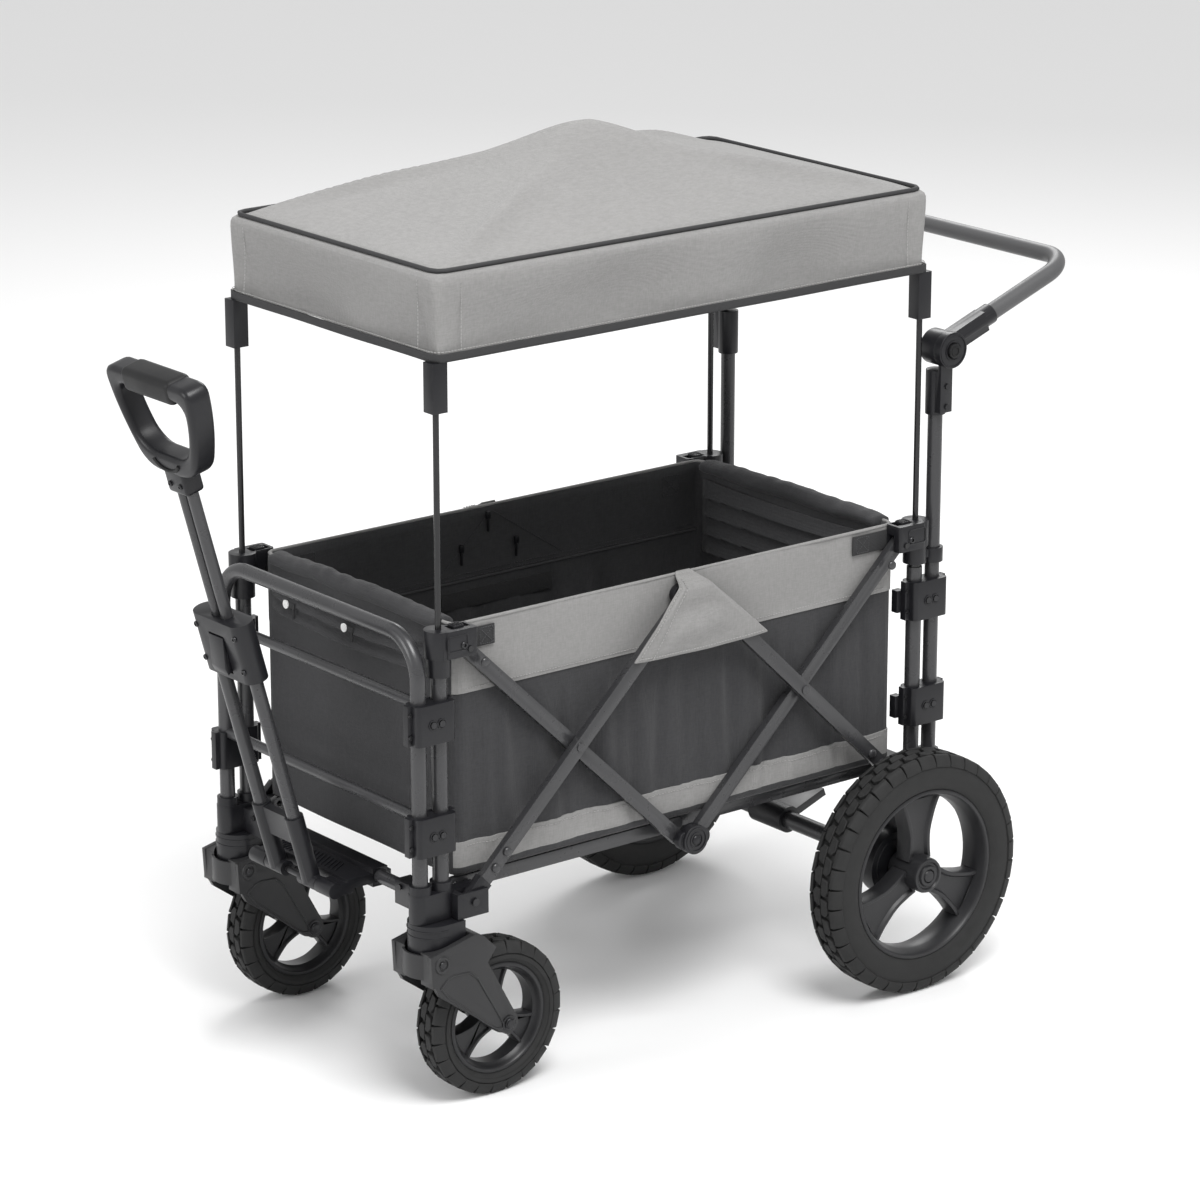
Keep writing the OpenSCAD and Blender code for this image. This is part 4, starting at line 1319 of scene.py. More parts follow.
@dataclass
class BasketBag:
    """The soft tub: banded canvas outside, black liner inside, with flaps over the middle of each side."""

    corner: float = 0.012
    band_z: float = 0.4835
    low_band_z: float = 0.3060
    liner_gap: float = 0.0045
    flap_low_z: float = 0.481
    flap_out_y: float = 0.2142
    low: Vector = field(default_factory=lambda: Vector(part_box("basket_shell")[0]))
    high: Vector = field(default_factory=lambda: Vector(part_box("basket_shell")[1]))

    @property
    def rim_z(self) -> float:
        """Height of the tub's rim."""
        return self.high.z

    def gather(self, piece: bpy.types.Object) -> None:
        """Give a piece of the tub its own copy of its mesh."""
        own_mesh(piece)

    def bulge(self, x: float, y: float, z: float) -> float:
        """How far the outer cloth stands out at a point.

        Args:
            x: Place along the wagon.
            y: Place across it.
            z: Height.

        Returns:
            The distance, in metres.
        """
        side = abs(y) > 0.17
        ends = ease((self.high.x - abs(x)) / 0.05) if side else ease((self.high.y - abs(y)) / 0.04)
        seed = 3.1 if y < 0 else 7.7
        if z > self.band_z:
            return ends * (0.0012 * ripple(x * 6, seed, z * 9) + 0.0005 * ripple(x * 30, seed, z * 12))
        hang = ease((self.band_z - z) / 0.06) * ease((z - self.low.z) / 0.02)
        streaks = 0.0034 * ripple(x * 24 + z * 3, seed, z * 2.6) + 0.0020 * ripple(x * 62, seed, z * 4)
        gathers = 0.0020 * ripple(x * 80, seed, z * 6) * ease(1 - abs(z - self.low_band_z) / 0.06)
        return ends * hang * max(-0.0030, min(0.0038, 1.7 * (streaks + gathers) + 0.0004))

    def shell(
        self, offset: float, heights: Sequence[tuple[float, float]], base_z: float, wavy: float
    ) -> bmesh.types.BMesh:
        """Loft the tub from its rim down and under.

        Args:
            offset: How far outside the frame's tub the wall is.
            heights: Each ring's height and extra offset.
            base_z: Height of the floor.
            wavy: Share of the wrinkles taken on.

        Returns:
            The mesh.
        """
        count = 300
        loop = along_loop(rounded_rectangle(self.high.x, self.high.y, self.corner), count)
        outward = [Vector(self._outward(x, y)) for x, y in loop]
        part = bmesh.new()
        made = bmesh.ops.create_circle(part, cap_ends=False, radius=1.0, segments=count)
        order = {v: i for i, v in enumerate(made["verts"])}
        edges = list(part.edges)
        first = True
        rings = [(z, extra, None) for z, extra in heights]
        rings += [(base_z, 0.0, inset) for inset in (0.010, 0.03, 0.07, 0.12, 0.165)]
        for z, extra, inset in rings:
            if not first:
                fresh, edges = extruded(part, edges)
                grown = {}
                for vert in fresh:
                    for edge in vert.link_edges:
                        other = edge.other_vert(vert)
                        if other in order:
                            grown[vert] = order[other]
                order = grown
            first = False
            for vert, i in order.items():
                x, y = loop[i]
                if inset is None:
                    out = offset + extra + wavy * self.bulge(x, y, z)
                    vert.co = (x + outward[i].x * out, y + outward[i].y * out, z)
                else:
                    share_y = (self.high.y - inset) / self.high.y
                    share_x = (self.high.x - inset) / self.high.x
                    vert.co = (x * share_x, y * share_y, z + 0.0006 * ripple(x * 20, y * 20, inset * 9))
        bmesh.ops.edgeloop_fill(part, edges=edges)
        return part

    def _outward(self, x: float, y: float) -> tuple[float, float]:
        """Direction out of the wall at a point of the outline.

        Args:
            x: The point's place along the wagon.
            y: Its place across it.

        Returns:
            The direction along and across the wagon.
        """
        over_x = abs(x) - (self.high.x - self.corner)
        over_y = abs(y) - (self.high.y - self.corner)
        if over_x > 0 and over_y > 0:
            length = math.hypot(over_x, over_y)
            return math.copysign(over_x / length, x), math.copysign(over_y / length, y)
        if over_x > over_y:
            return math.copysign(1.0, x), 0.0
        return 0.0, math.copysign(1.0, y)

    def cross_cut(self, inset: float, floor_z: float) -> tuple[tuple[float, float], float]:
        """Flat size of a cross-shaped cut that makes the floor and the four walls.

        Args:
            inset: How far inside the outline the walls stand.
            floor_z: Height of the floor.

        Returns:
            The cut's width and length, and its area without the four corners.
        """
        width, length = 2 * (self.high.y - inset), 2 * (self.high.x - inset)
        wall = self.rim_z - floor_z
        return (width + 2 * wall, length + 2 * wall), 2 * (width + length) * wall + width * length

    def tub(self) -> None:
        """Sew the outer tub and the liner."""
        band, low_band, rim = self.band_z, self.low_band_z, self.rim_z
        heights = [(rim, -0.0008), (rim - 0.0015, 0.0), (rim - 0.006, 0.0)]
        heights += [(rim - 0.006 - (rim - 0.006 - band) * i / 9, 0.0006) for i in range(1, 10)]
        heights += [(band - 0.0004, -0.0008)]
        heights += [(band - (band - low_band) * i / 18, -0.0008) for i in range(1, 18)]
        heights += [(low_band + 0.0004, -0.0006), (low_band, 0.0006)]
        heights += [(low_band - (low_band - self.low.z - 0.004) * i / 6, 0.0006) for i in range(1, 7)]
        heights += [(self.low.z, -0.003)]
        outer = Form()

        def banded(centre: Vector) -> int:
            """Index of the finish at a face's centre.

            Args:
                centre: The centre.

            Returns:
                0 for the light cloth, 1 for the dark.
            """
            on_side = abs(centre.y) > self.high.y - self.corner * 0.5
            light = centre.z > band - 0.0002 or (self.low.z + 0.008 < centre.z < low_band + 0.0002)
            return 0 if on_side and light else 1

        outer.sheet(self.shell(0.0, heights, self.low.z, 1.0), (0, 0, -1), banded)
        made = outer.piece(
            "basket_tub", "front_top_corners", [LIGHT_CANVAS, DARK_CANVAS], ["basket_shell"], smooth=60, thick=0.0012,
        )
        flat, cut = self.cross_cut(0.0, self.low.z)
        self.gather(made)
        floor_z = self.low.z + 0.006
        liner = Form()
        inner = [(rim - 0.0004, 0.0)] + [(rim - (rim - floor_z) * i / 22, 0.0) for i in range(1, 23)]
        liner.sheet(self.shell(-self.liner_gap, inner, floor_z, 1.0), (0, 0, 1))
        lining = liner.piece("basket_liner", "front_top_corners", [LINER], smooth=60, thick=0.0010, inward=0.0)
        flat, cut = self.cross_cut(self.liner_gap, floor_z)
        self.gather(lining)
        binding = Form()
        loop = along_loop(rounded_rectangle(self.high.x - 0.0014, self.high.y - 0.0014, self.corner), 260)
        binding.swept([(x, y, rim) for x, y in loop], 0.0021, 10, closed=True)
        self.gather(binding.piece("basket_rim_binding", "front_top_corners", [LIGHT_CANVAS], smooth=60))

    def flap_point(self, side: Side, across: float, down: float) -> Point:
        """A point of a side flap.

        Args:
            side: Which side of the wagon.
            across: From 0 at the flap's front edge to 1 at its rear edge.
            down: From 0 at the rim to 1 at the lower edge.

        Returns:
            The point.
        """
        apex = self.rim_z + 0.004
        top = 0.010
        left, right = -0.0945, 0.108
        x = (-top + (left + top) * down) * (1 - across) + (top + (right - top) * down) * across
        z = apex + (self.flap_low_z - apex) * down
        z -= 0.004 * math.sin(math.pi * across) * down
        lift = ease(down / 0.16)
        edge = 1 - abs(2 * across - 1)
        wrap = ease(edge / 0.16)
        tucked = 0.24 * (1 - wrap) * ease((0.8 - down) / 0.7)
        out = self.high.y + 0.0012 + (self.flap_out_y - self.high.y) * lift * (1 - tucked)
        folds = 0.0030 * math.sin(down * 10.5 + across * 1.6) * ease((down - 0.18) / 0.3) * ease((edge - 0.18) / 0.5)
        out += folds + 0.0008 * ripple(x * 25, 5.0 + side.value, z * 25)
        return (x, side.value * out, z)

    def flaps(self) -> None:
        """Sew the flap that covers the middle pivots on each side, with its seams."""
        for side in Side:
            form = Form()
            form.cloth(40, 34, lambda u, w, s=side: self.flap_point(s, u, w), (0, side.value, 0))
            name = f"{side.word}_side_flap"
            flap = form.piece(name, "front_top_corners", [LIGHT_CANVAS], smooth=60, thick=0.0015, rounds=1)
            self.gather(flap)
            sewn = Form()
            down_edge = [[(shift, 0.06 + 0.92 * i / 24) for i in range(25)] for shift in (0.128, 0.022)]
            along_foot = [(0.03 + 0.94 * i / 30, 0.955) for i in range(31)]
            for seam, proud in ((down_edge[0], 0.0019), (down_edge[1], 0.0019), (along_foot, 0.0017)):
                lift = Vector((0, side.value * proud, 0))
                sewn.stitches([tuple(Vector(self.flap_point(side, *spot)) + lift) for spot in seam])
            self.gather(sewn.piece(f"{side.word}_flap_stitching", "front_top_corners", [LIGHT_THREAD]))

    def seams(self) -> None:
        """Sew the bands' hems, the liner's seams, the corner crosses and the hook tape."""
        form = Form()
        for side in Side:
            for z, raised in ((self.band_z + 0.005, 0.0010), (self.low_band_z - 0.005, 0.0010)):
                run = []
                for i in range(161):
                    x = -0.315 + 0.63 * i / 160
                    y = side.value * (self.high.y + raised + self.bulge(x, side.value * self.high.y, z))
                    run.append((x, y, z))
                form.stitches(run)
        self.gather(form.piece("band_stitching", "front_top_corners", [LIGHT_THREAD]))
        inside = Form()
        wall = self.high.y - self.liner_gap - 0.0009
        for side in Side:
            y = side.value * wall
            for z in (self.band_z - 0.002, self.band_z + 0.003):
                inside.stitches([(-0.32 + 0.64 * i / 60, y, z) for i in range(61)])
            for cx in (-0.275, 0.283):
                for (ax, az), (bx, bz) in crossed_square(cx, 0.542, 0.0125):
                    inside.stitches([(ax, y, az), (bx, y, bz)])
            for foot in (-0.082, 0.112):
                inside.stitches([(0.0, y, self.rim_z - 0.006), (foot, y, self.band_z + 0.003)])
        self.gather(inside.piece("liner_stitching", "front_top_corners", [DARK_THREAD]))
        piping = Form()
        for side in Side:
            y = side.value * (wall - 0.0002)
            piping.swept([(-0.324 + 0.648 * i / 60, y, self.band_z - 0.006) for i in range(61)], 0.0016, 8)
        self.gather(piping.piece("liner_piping", "front_top_corners", [LINER]))
        tape = Form()
        for side in Side:
            near, far = sorted((side.value * wall, side.value * wall - side.value * 0.002))
            tape.block((-0.078, near, 0.4435), (0.092, far, 0.4655), 0.0006)
        self.gather(tape.piece("liner_hook_tape", "front_top_corners", [HOOK_TAPE]))
        toggles = Form()
        for side in Side:
            for x, z in ((-0.047, 0.520), (-0.006, 0.556), (0.037, 0.517)):
                y = side.value * (wall - 0.0015)
                place = Matrix.Translation((x, y, z))
                toggles.block((-0.003, -0.0022, -0.006), (0.003, 0.0022, 0.004), 0.0012, place=place)
                toggles.block((-0.0012, -0.0012, -0.022), (0.0012, 0.0012, -0.004), 0.0004, place=place)
        self.gather(toggles.piece("liner_toggles", "front_top_corners", [BLACK_NYLON]))
        tabs = Form()
        for side in Side:
            for low_x, high_x, cz in ((-0.316, -0.275, 0.5475), (0.262, 0.316, 0.550)):
                y = side.value * (self.high.y + 0.0012)
                out = side.value * (self.high.y + 0.0032)
                tabs.block((low_x, min(y, out), cz - 0.0118), (high_x, max(y, out), cz + 0.0118), 0.0007)
        self.gather(tabs.piece("corner_strap_tabs", "front_top_corners", [HOOK_TAPE]))
        crosses = Form()
        for side in Side:
            y = side.value * (self.high.y + 0.0035)
            for cx, cz in ((-0.287, 0.5475), (0.277, 0.550)):
                for (ax, az), (bx, bz) in crossed_square(cx, cz, 0.0095):
                    crosses.stitches([(ax, y, az), (bx, y, bz)], pitch=0.003)
        self.gather(crosses.piece("corner_tab_stitching", "front_top_corners", [DARK_THREAD]))

    def end_sheet(self, end: End) -> None:
        """Hang an end panel: pleats below a padded roll over the rim.

        Args:
            end: Which end of the wagon.
        """
        sign = end.value
        body = f"{end.word}_top_corners"
        low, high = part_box(f"{end.word}_panel")
        face = abs(low.x if end is End.FRONT else high.x) + 0.0008
        half = high.y - 0.001
        top = self.rim_z - 0.006

        def outside(across: float, down: float) -> Point:
            """A point of the panel's outer face.

            Args:
                across: From 0 to 1 across the panel.
                down: From 0 at its top to 1 at its foot.

            Returns:
                The point.
            """
            y = -half + 2 * half * across
            z = top + (low.z - top) * down
            free = ease(min(across, 1 - across) / 0.12)
            sag = 4 * across * (1 - across)
            bend = 0.0
            pleat_depth = 0.0068
            for rest in (0.020, 0.037, 0.054):
                above = (z - (top - rest - 0.008 * sag)) / 0.017
                if 0 <= above <= 1:
                    swell = (1 - above) ** 1.3
                else:
                    swell = max(0.0, 1 + above * 6) if above < 0 else 0.0
                bend = max(bend, pleat_depth * swell)
            waves = 0.0020 * ripple(y * 8, 2.2 * sign, z * 9) * ease((top - 0.08 - z) / 0.05)
            return (sign * (face + free * (bend + waves) + 0.0004), y, z)

        form = Form()
        form.cloth(60, 150, outside, (sign, 0, 0))
        sheet = form.piece(
            f"{end.word}_panel_sheet", body, [DARK_CANVAS], [f"{end.word}_panel"], smooth=60, thick=0.0016,
        )
        inside = Form()
        inner = self.high.x - self.liner_gap - 0.004

        def pleated(across: float, down: float) -> Point:
            """A point of the pleats inside the panel.

            Args:
                across: From 0 to 1 across the panel.
                down: From 0 at the top pleat to 1 at the lowest.

            Returns:
                The point.
            """
            y = (-half + 0.006) + (2 * half - 0.012) * across
            z = top - 0.012 - 0.095 * down
            sag = 4 * across * (1 - across)
            lap = (down * 3.999 + 0.22 * sag) % 1.0
            free = ease(min(across, 1 - across) / 0.05)
            return (sign * (inner - 0.0015 - 0.0050 * lap**1.6 * free), y, z - 0.004 * sag)

        inside.cloth(40, 72, pleated, (-sign, 0, 0))
        pleats = inside.piece(f"{end.word}_panel_pleats", body, [DARK_CANVAS], smooth=50, thick=0.0010, inward=0.0)
        roll = Form()
        path = []
        for i in range(41):
            y = (-half + 0.004) + (2 * half - 0.008) * i / 40
            lump = 0.0016 * ripple(y * 14, 1.7 * sign, 0.0)
            path.append((sign * (self.high.x - 0.003 + lump * 0.5), y, self.rim_z - 0.002 + lump))
        roll.swept(path, 0.0115, 20, flat=(1.25, 0.72))
        padding = roll.piece(f"{end.word}_panel_roll", body, [DARK_CANVAS], smooth=80)
        puffed(padding, 4.0, 0.0035, 0.004)
        for polygon in padding.data.polygons:
            polygon.use_smooth = True
        for vert in padding.data.vertices:
            crease = 0.0010 * ripple(vert.co.y * 60, vert.co.x * 40, vert.co.z * 40)
            vert.co += Vector((0, 0, crease))

    def front_snaps(self) -> None:
        """Put the two snap buttons and their tabs on the front panel."""
        form = Form()
        tabs = Form()
        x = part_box("front_panel")[0].x - 0.0080
        for y in (0.1227, 0.0058):
            form.turned(disc_profile(0.0052, 0.0022, 0.0009), Across.X, (x - 0.0022, y, 0.5195), steps=24)
            tabs.block((x - 0.0008, y - 0.016, 0.516), (x + 0.0012, y - 0.003, 0.5225), 0.0006)
            tabs.block((x - 0.0008, y - 0.0145, 0.505), (x + 0.0012, y - 0.0125, 0.5165), 0.0004)
        form.piece("front_snap_buttons", "front_top_corners", [SNAP_WHITE])
        tabs.piece("front_snap_tabs", "front_top_corners", [HOOK_TAPE])

    def build(self) -> None:
        """Make the whole tub."""
        self.tub()
        self.flaps()
        self.seams()
        for end in End:
            self.end_sheet(end)
        self.front_snaps()


# ---------- wheels ----------


@dataclass
class WheelSize:
    """The measures of one wheel and its tread."""

    radius: float
    half_width: float
    rim_radius: float
    lugs: int
    hub_radius: float


REAR_WHEEL = WheelSize(radius=0.150, half_width=0.026, rim_radius=0.106, lugs=36, hub_radius=0.022)
CASTER_WHEEL = WheelSize(radius=0.0924, half_width=0.022, rim_radius=0.066, lugs=24, hub_radius=0.015)


@dataclass
class Wheel:
    """A foam-filled tyre with chunky lugs on a three-spoke nylon rim."""

    prefix: str
    body: str
    size: WheelSize

    @property
    def centre(self) -> Point:
        """Middle of the wheel.

        Returns:
            The point.
        """
        low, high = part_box(f"{self.prefix}_tyre")
        middle = (low + high) / 2
        return (middle.x, middle.y, middle.z)

    def carcass(self) -> Form:
        """The tyre without its lugs.

        Returns:
            The tyre.
        """
        r, w, bead = self.size.radius, self.size.half_width, self.size.rim_radius
        half = [
            (bead + 0.0005, w - 0.0060), (bead + 0.0040, w - 0.0022), (bead + 0.0110, w - 0.0004),
            (r - 0.0200, w - 0.0006), (r - 0.0120, w - 0.0030), (r - 0.0066, w - 0.0075),
            (r - 0.0050, w - 0.0125), (r - 0.0044, w * 0.35),
        ]
        profile = [(radius, -along) for radius, along in half] + [(radius, along) for radius, along in reversed(half)]
        return Form().turned(profile, Across.Y, self.centre, steps=120, ring=True)

    def lug_ring(self) -> Form:
        """The tread: zigzag blocks in the middle and lugs over both shoulders.

        Returns:
            The blocks, all round the wheel.
        """
        r, w = self.size.radius, self.size.half_width
        pitch = math.tau * r / self.size.lugs
        top = Matrix.Translation(self.centre)
        turn = Matrix.Rotation(math.tau / self.size.lugs / 2, 4, "Y")
        form = Form()
        gap = 0.0015
        block = [
            (-pitch * 0.50 + gap, 0.0008), (-pitch * 0.30, w * 0.42), (pitch * 0.18, w * 0.50),
            (pitch * 0.50 - gap, w * 0.30), (pitch * 0.36, 0.0008),
        ]
        form.prism(block, Across.Z, r - 0.0062, r - 0.0001, 0.0006, 1, top)
        form.prism([(-a, -b) for a, b in block], Across.Z, r - 0.0062, r - 0.0001, 0.0006, 1, top @ turn)
        shoulder = [
            (w * 0.56, r - 0.0065), (w * 0.56, r - 0.0004), (w * 0.74, r - 0.0010), (w - 0.0042, r - 0.0040),
            (w - 0.0014, r - 0.0092), (w - 0.0006, r - 0.0142), (w - 0.0030, r - 0.0150), (w - 0.0080, r - 0.0080),
        ]
        long = pitch * 0.5 - gap
        form.prism(shoulder, Across.X, -long, long, 0.0006, 1, top @ turn)
        form.prism([(-y, z) for y, z in shoulder], Across.X, -long, long, 0.0006, 1, top)
        return form.around(Across.Y, self.centre, self.size.lugs)

    def hub(self) -> Form:
        """The hub, with rings and a domed cap on both faces.

        Returns:
            The hub.
        """
        form = Form()
        low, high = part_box(f"{self.prefix}_rim")
        hub = self.size.hub_radius
        cx, _, cz = self.centre
        reach = (high.y - low.y) / 2 - 0.0015
        for sign in (-1, 1):
            profile = [
                (0.0, 0.0), (hub, 0.0), (hub, reach - 0.004), (hub * 0.94, reach - 0.0006), (hub * 0.80, reach),
                (hub * 0.72, reach - 0.0022), (hub * 0.62, reach - 0.0022), (hub * 0.56, reach + 0.0006),
                (hub * 0.40, reach + 0.0006), (hub * 0.36, reach - 0.0008), (hub * 0.30, reach + 0.0014),
                (0.0, reach + 0.0018),
            ]
            form.faced(profile, sign, (cx, (low.y + high.y) / 2, cz), 56)
        return form

    def ring(self) -> Form:
        """The rim, with a rolled edge on both faces.

        Returns:
            The rim.
        """
        r, w = self.size.rim_radius, self.size.half_width
        half = [
            (r + 0.0008, w - 0.0064), (r + 0.0006, w - 0.0048), (r - 0.0012, w - 0.0038), (r - 0.0036, w - 0.0040),
            (r - 0.0052, w - 0.0056), (r - 0.0058, w - 0.0085), (r - 0.0100, w * 0.42), (r - 0.0106, 0.0),
        ]
        profile = [(radius, -along) for radius, along in half]
        profile += [(radius, along) for radius, along in reversed(half[:-1])]
        return Form().turned(profile, Across.Y, self.centre, steps=96, ring=True)

    def spokes(self) -> Form:
        """Three wide spokes that flare into the rim, each with a sunk flute.

        Returns:
            The spokes.
        """
        r, w, hub = self.size.rim_radius - 0.008, self.size.half_width, self.size.hub_radius
        start = hub * 0.75
        flank = []
        for i in range(15):
            share = i / 14
            flare = max(0.0, (share - 0.35) / 0.65) ** 2.0
            waist = hub * (0.80 - 0.08 * math.sin(math.pi * min(1.0, share / 0.6)))
            flank.append((waist + r * 0.17 * flare, start + (r - start) * share))
        tip = [(flank[-1][0] * math.cos(math.pi * k / 8), r + 0.004 * math.sin(math.pi * k / 8)) for k in range(1, 8)]
        outline = [(a, b) for a, b in flank] + tip + [(-a, b) for a, b in reversed(flank)]
        part = bmesh.new()
        base = part.faces.new([part.verts.new((a, -w * 0.46, b)) for a, b in outline])
        made = bmesh.ops.extrude_face_region(part, geom=[base])
        far = [g for g in made["geom"] if isinstance(g, bmesh.types.BMVert)]
        bmesh.ops.translate(part, vec=(0, w * 0.92, 0), verts=far)
        bmesh.ops.recalc_face_normals(part, faces=part.faces)
        caps = [f for f in part.faces if abs(f.normal.y) > 0.9 and len(f.verts) > 8]
        bmesh.ops.inset_individual(part, faces=caps, thickness=hub * 0.20, depth=0.0)
        bmesh.ops.inset_individual(part, faces=caps, thickness=hub * 0.10, depth=-w * 0.15)
        return Form().add(part, 0.0009, 2, Matrix.Translation(self.centre), 30).around(Across.Y, self.centre, 3)

    def build(self) -> None:
        """Make the tyre and the rim."""
        tyre = self.carcass().joined(self.lug_ring())
        tyre.piece(f"{self.prefix}_tread", self.body, [RUBBER], [f"{self.prefix}_tyre"], smooth=34)
        rim = self.ring().joined(self.hub()).joined(self.spokes())
        rim.piece(f"{self.prefix}_wheel_rim", self.body, [RIM_NYLON], [f"{self.prefix}_rim"], smooth=34)


@dataclass
class Caster:
    """One front caster: swivel head, sprung fork, cheek covers and wheel."""

    side: Side
    swivel_x: float = -0.372
    axle_x: float = -0.2906
    axle_z: float = 0.0924

    @property
    def middle(self) -> float:
        """Place across the wagon of the caster's middle."""
        low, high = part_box(f"{self.side.word}_fork")
        return (low.y + high.y) / 2

    def head(self) -> None:
        """The swivel head, with a lip round its top and grip ribs."""
        node = f"{self.side.word}_caster_head"
        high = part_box(node)[1]
        form = Form().copied(node, 0.0016, 3)
        for height in (high.z - 0.0065, high.z - 0.0145):
            ring = [(0.0262, -0.0012), (0.0278, -0.0006), (0.0278, 0.0006), (0.0262, 0.0012)]
            form.turned(ring, Across.Z, (self.swivel_x, self.middle, height), steps=48, ring=True)
        form.piece(f"{node}_shell", node, [BLACK_NYLON], [node])

    def fork(self) -> None:
        """The fork with raised cheek covers and their triangular recess."""
        node = f"{self.side.word}_fork"
        low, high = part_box(node)
        form = Form().copied(node, 0.0022, 3, 30)
        for sign, face in ((-1, low.y), (1, high.y)):
            border = [
                (-0.3895, 0.156), (-0.3735, 0.170), (-0.3405, 0.168), (-0.3060, 0.1080),
                (-0.2960, 0.0890), (-0.3110, 0.0900),
            ]
            path = []
            for (ax, az), (bx, bz) in zip(border, border[1:] + border[:1]):
                path += [(ax + (bx - ax) * i / 6, face, az + (bz - az) * i / 6) for i in range(1, 6)]
            form.swept(path, 0.0013, 8, up=(0, 1, 0), closed=True)
            boss = [
                (0.0062, 0.0), (0.0070, 0.0016), (0.0098, 0.0016), (0.0106, 0.0), (0.0106, -0.002), (0.0062, -0.002),
            ]
            form.faced(boss, sign, (-0.384, face, 0.186), 32, ring=True)
        form.piece(f"{node}_shell", node, [GREY_NYLON], [node])

    def bolts(self) -> None:
        """Axle nut and spring screw on both cheeks."""
        node = f"{self.side.word}_caster_bolts"
        form = Form().copied(node, 0.0005, 1)
        low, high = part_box(f"{self.side.word}_fork")
        for sign, face in ((-1, low.y), (1, high.y)):
            washer = [(0.0, 0.0), (0.0095, 0.0), (0.0095, sign * 0.0012), (0.0, sign * 0.0012)]
            form.turned(washer, Across.Y, (self.axle_x, face, self.axle_z), steps=32, edge=0.0003)
            nut = [(0.0062 * math.cos(math.radians(60 * i)), 0.0062 * math.sin(math.radians(60 * i))) for i in range(6)]
            depth = sorted((face + sign * 0.0010, face + sign * 0.0052))
            place = Matrix.Translation((self.axle_x, 0, self.axle_z))
            form.prism(nut, Across.Y, depth[0], depth[1], 0.0006, 2, place)
        form.piece(f"{node}_set", f"{self.side.word}_fork", [SCREW_BLACK], [node])

    def build(self) -> None:
        """Make the whole caster."""
        self.head()
        self.fork()
        self.bolts()
        Wheel(f"{self.side.word}_caster", f"{self.side.word}_caster_wheel", CASTER_WHEEL).build()


# ---------- frame ----------


@dataclass
class SteelFrame:
    """The coated tubes, and the flat scissor bars with their rivets and hubs."""

    bar_edge: float = 0.0030

    def tubes(self) -> None:
        """Finish the round tubes and rods."""
        dressed(
            TUBE_COAT, "front_posts", "front_frame", "rear_posts", "push_posts", "rear_cross_tubes",
            "draw_tubes", "inner_draw_tubes",
        )
        dressed(ROD_BLACK, "front_rods", "rear_rods")

    def bars(self) -> None:
        """Round the edges of the scissor bars and floor rails, and rivet them."""
        for end in End:
            for level, body in (("lower", f"{end.word}_lower_braces"), ("upper", f"{end.word}_upper_braces")):
                form = Form().copied(body, self.bar_edge, 3, 40)
                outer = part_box(body)[1].y
                rivets = self.rivet_spots(end, level)
                for x, z in rivets:
                    for side in Side:
                        form.faced(rivet_profile(0.0055, 0.0026), side.value, (x, side.value * outer, z), 24)
                form.piece(f"{body}_bars", body, [TUBE_COAT], [body])
            rails = f"{end.word}_floor_rails"
            Form().copied(rails, 0.0012, 2, 40).piece(f"{rails}_bars", rails, [TUBE_COAT], [rails])

    def rivet_spots(self, end: End, level: str) -> list[tuple[float, float]]:
        """Where a bar's rivets are.

        Args:
            end: Which end of the wagon.
            level: Whether the bar starts at the lower or the upper corner.

        Returns:
            Places along the wagon and heights.
        """
        foot = Vector((0.327, 0.245 if level == "lower" else 0.545))
        far = Vector((0.013, 0.545 if level == "lower" else 0.245))
        run = (far - foot).normalized()
        spots = [foot + run * reach for reach in ((0.046, 0.069) if level == "lower" else (0.030,))]
        return [(end.value * spot.x, spot.y) for spot in spots]

    def hubs(self) -> None:
        """The middle hubs with a ring round each bolt."""
        for node in ("upper_hubs", "lower_hubs"):
            low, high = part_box(node)
            form = Form().copied(node, 0.0016, 3)
            middle = (low.z + high.z) / 2
            for side in Side:
                face = side.value * high.y
                for radius in (0.0142, 0.0088) if node == "lower_hubs" else ():
                    form.faced(raised_ring(radius, 0.0012, 0.0008, 0.002), side.value, (0, face, middle), 48, ring=True)
                if node == "lower_hubs":
                    form.faced(rivet_profile(0.0060, 0.0030), side.value, (0, face, middle), 32)
            form.piece(f"{node}_shells", node, [BLACK_NYLON], [node])

    def feet(self) -> None:
        """The moulded feet of the lower bars."""
        for end in End:
            node = f"{end.word}_brace_feet"
            Form().copied(node, 0.0014, 2).piece(f"{node}_shells", f"{end.word}_lower_braces", [BLACK_NYLON], [node])

    def build(self) -> None:
        """Make the frame."""
        self.tubes()
        self.bars()
        self.hubs()
        self.feet()


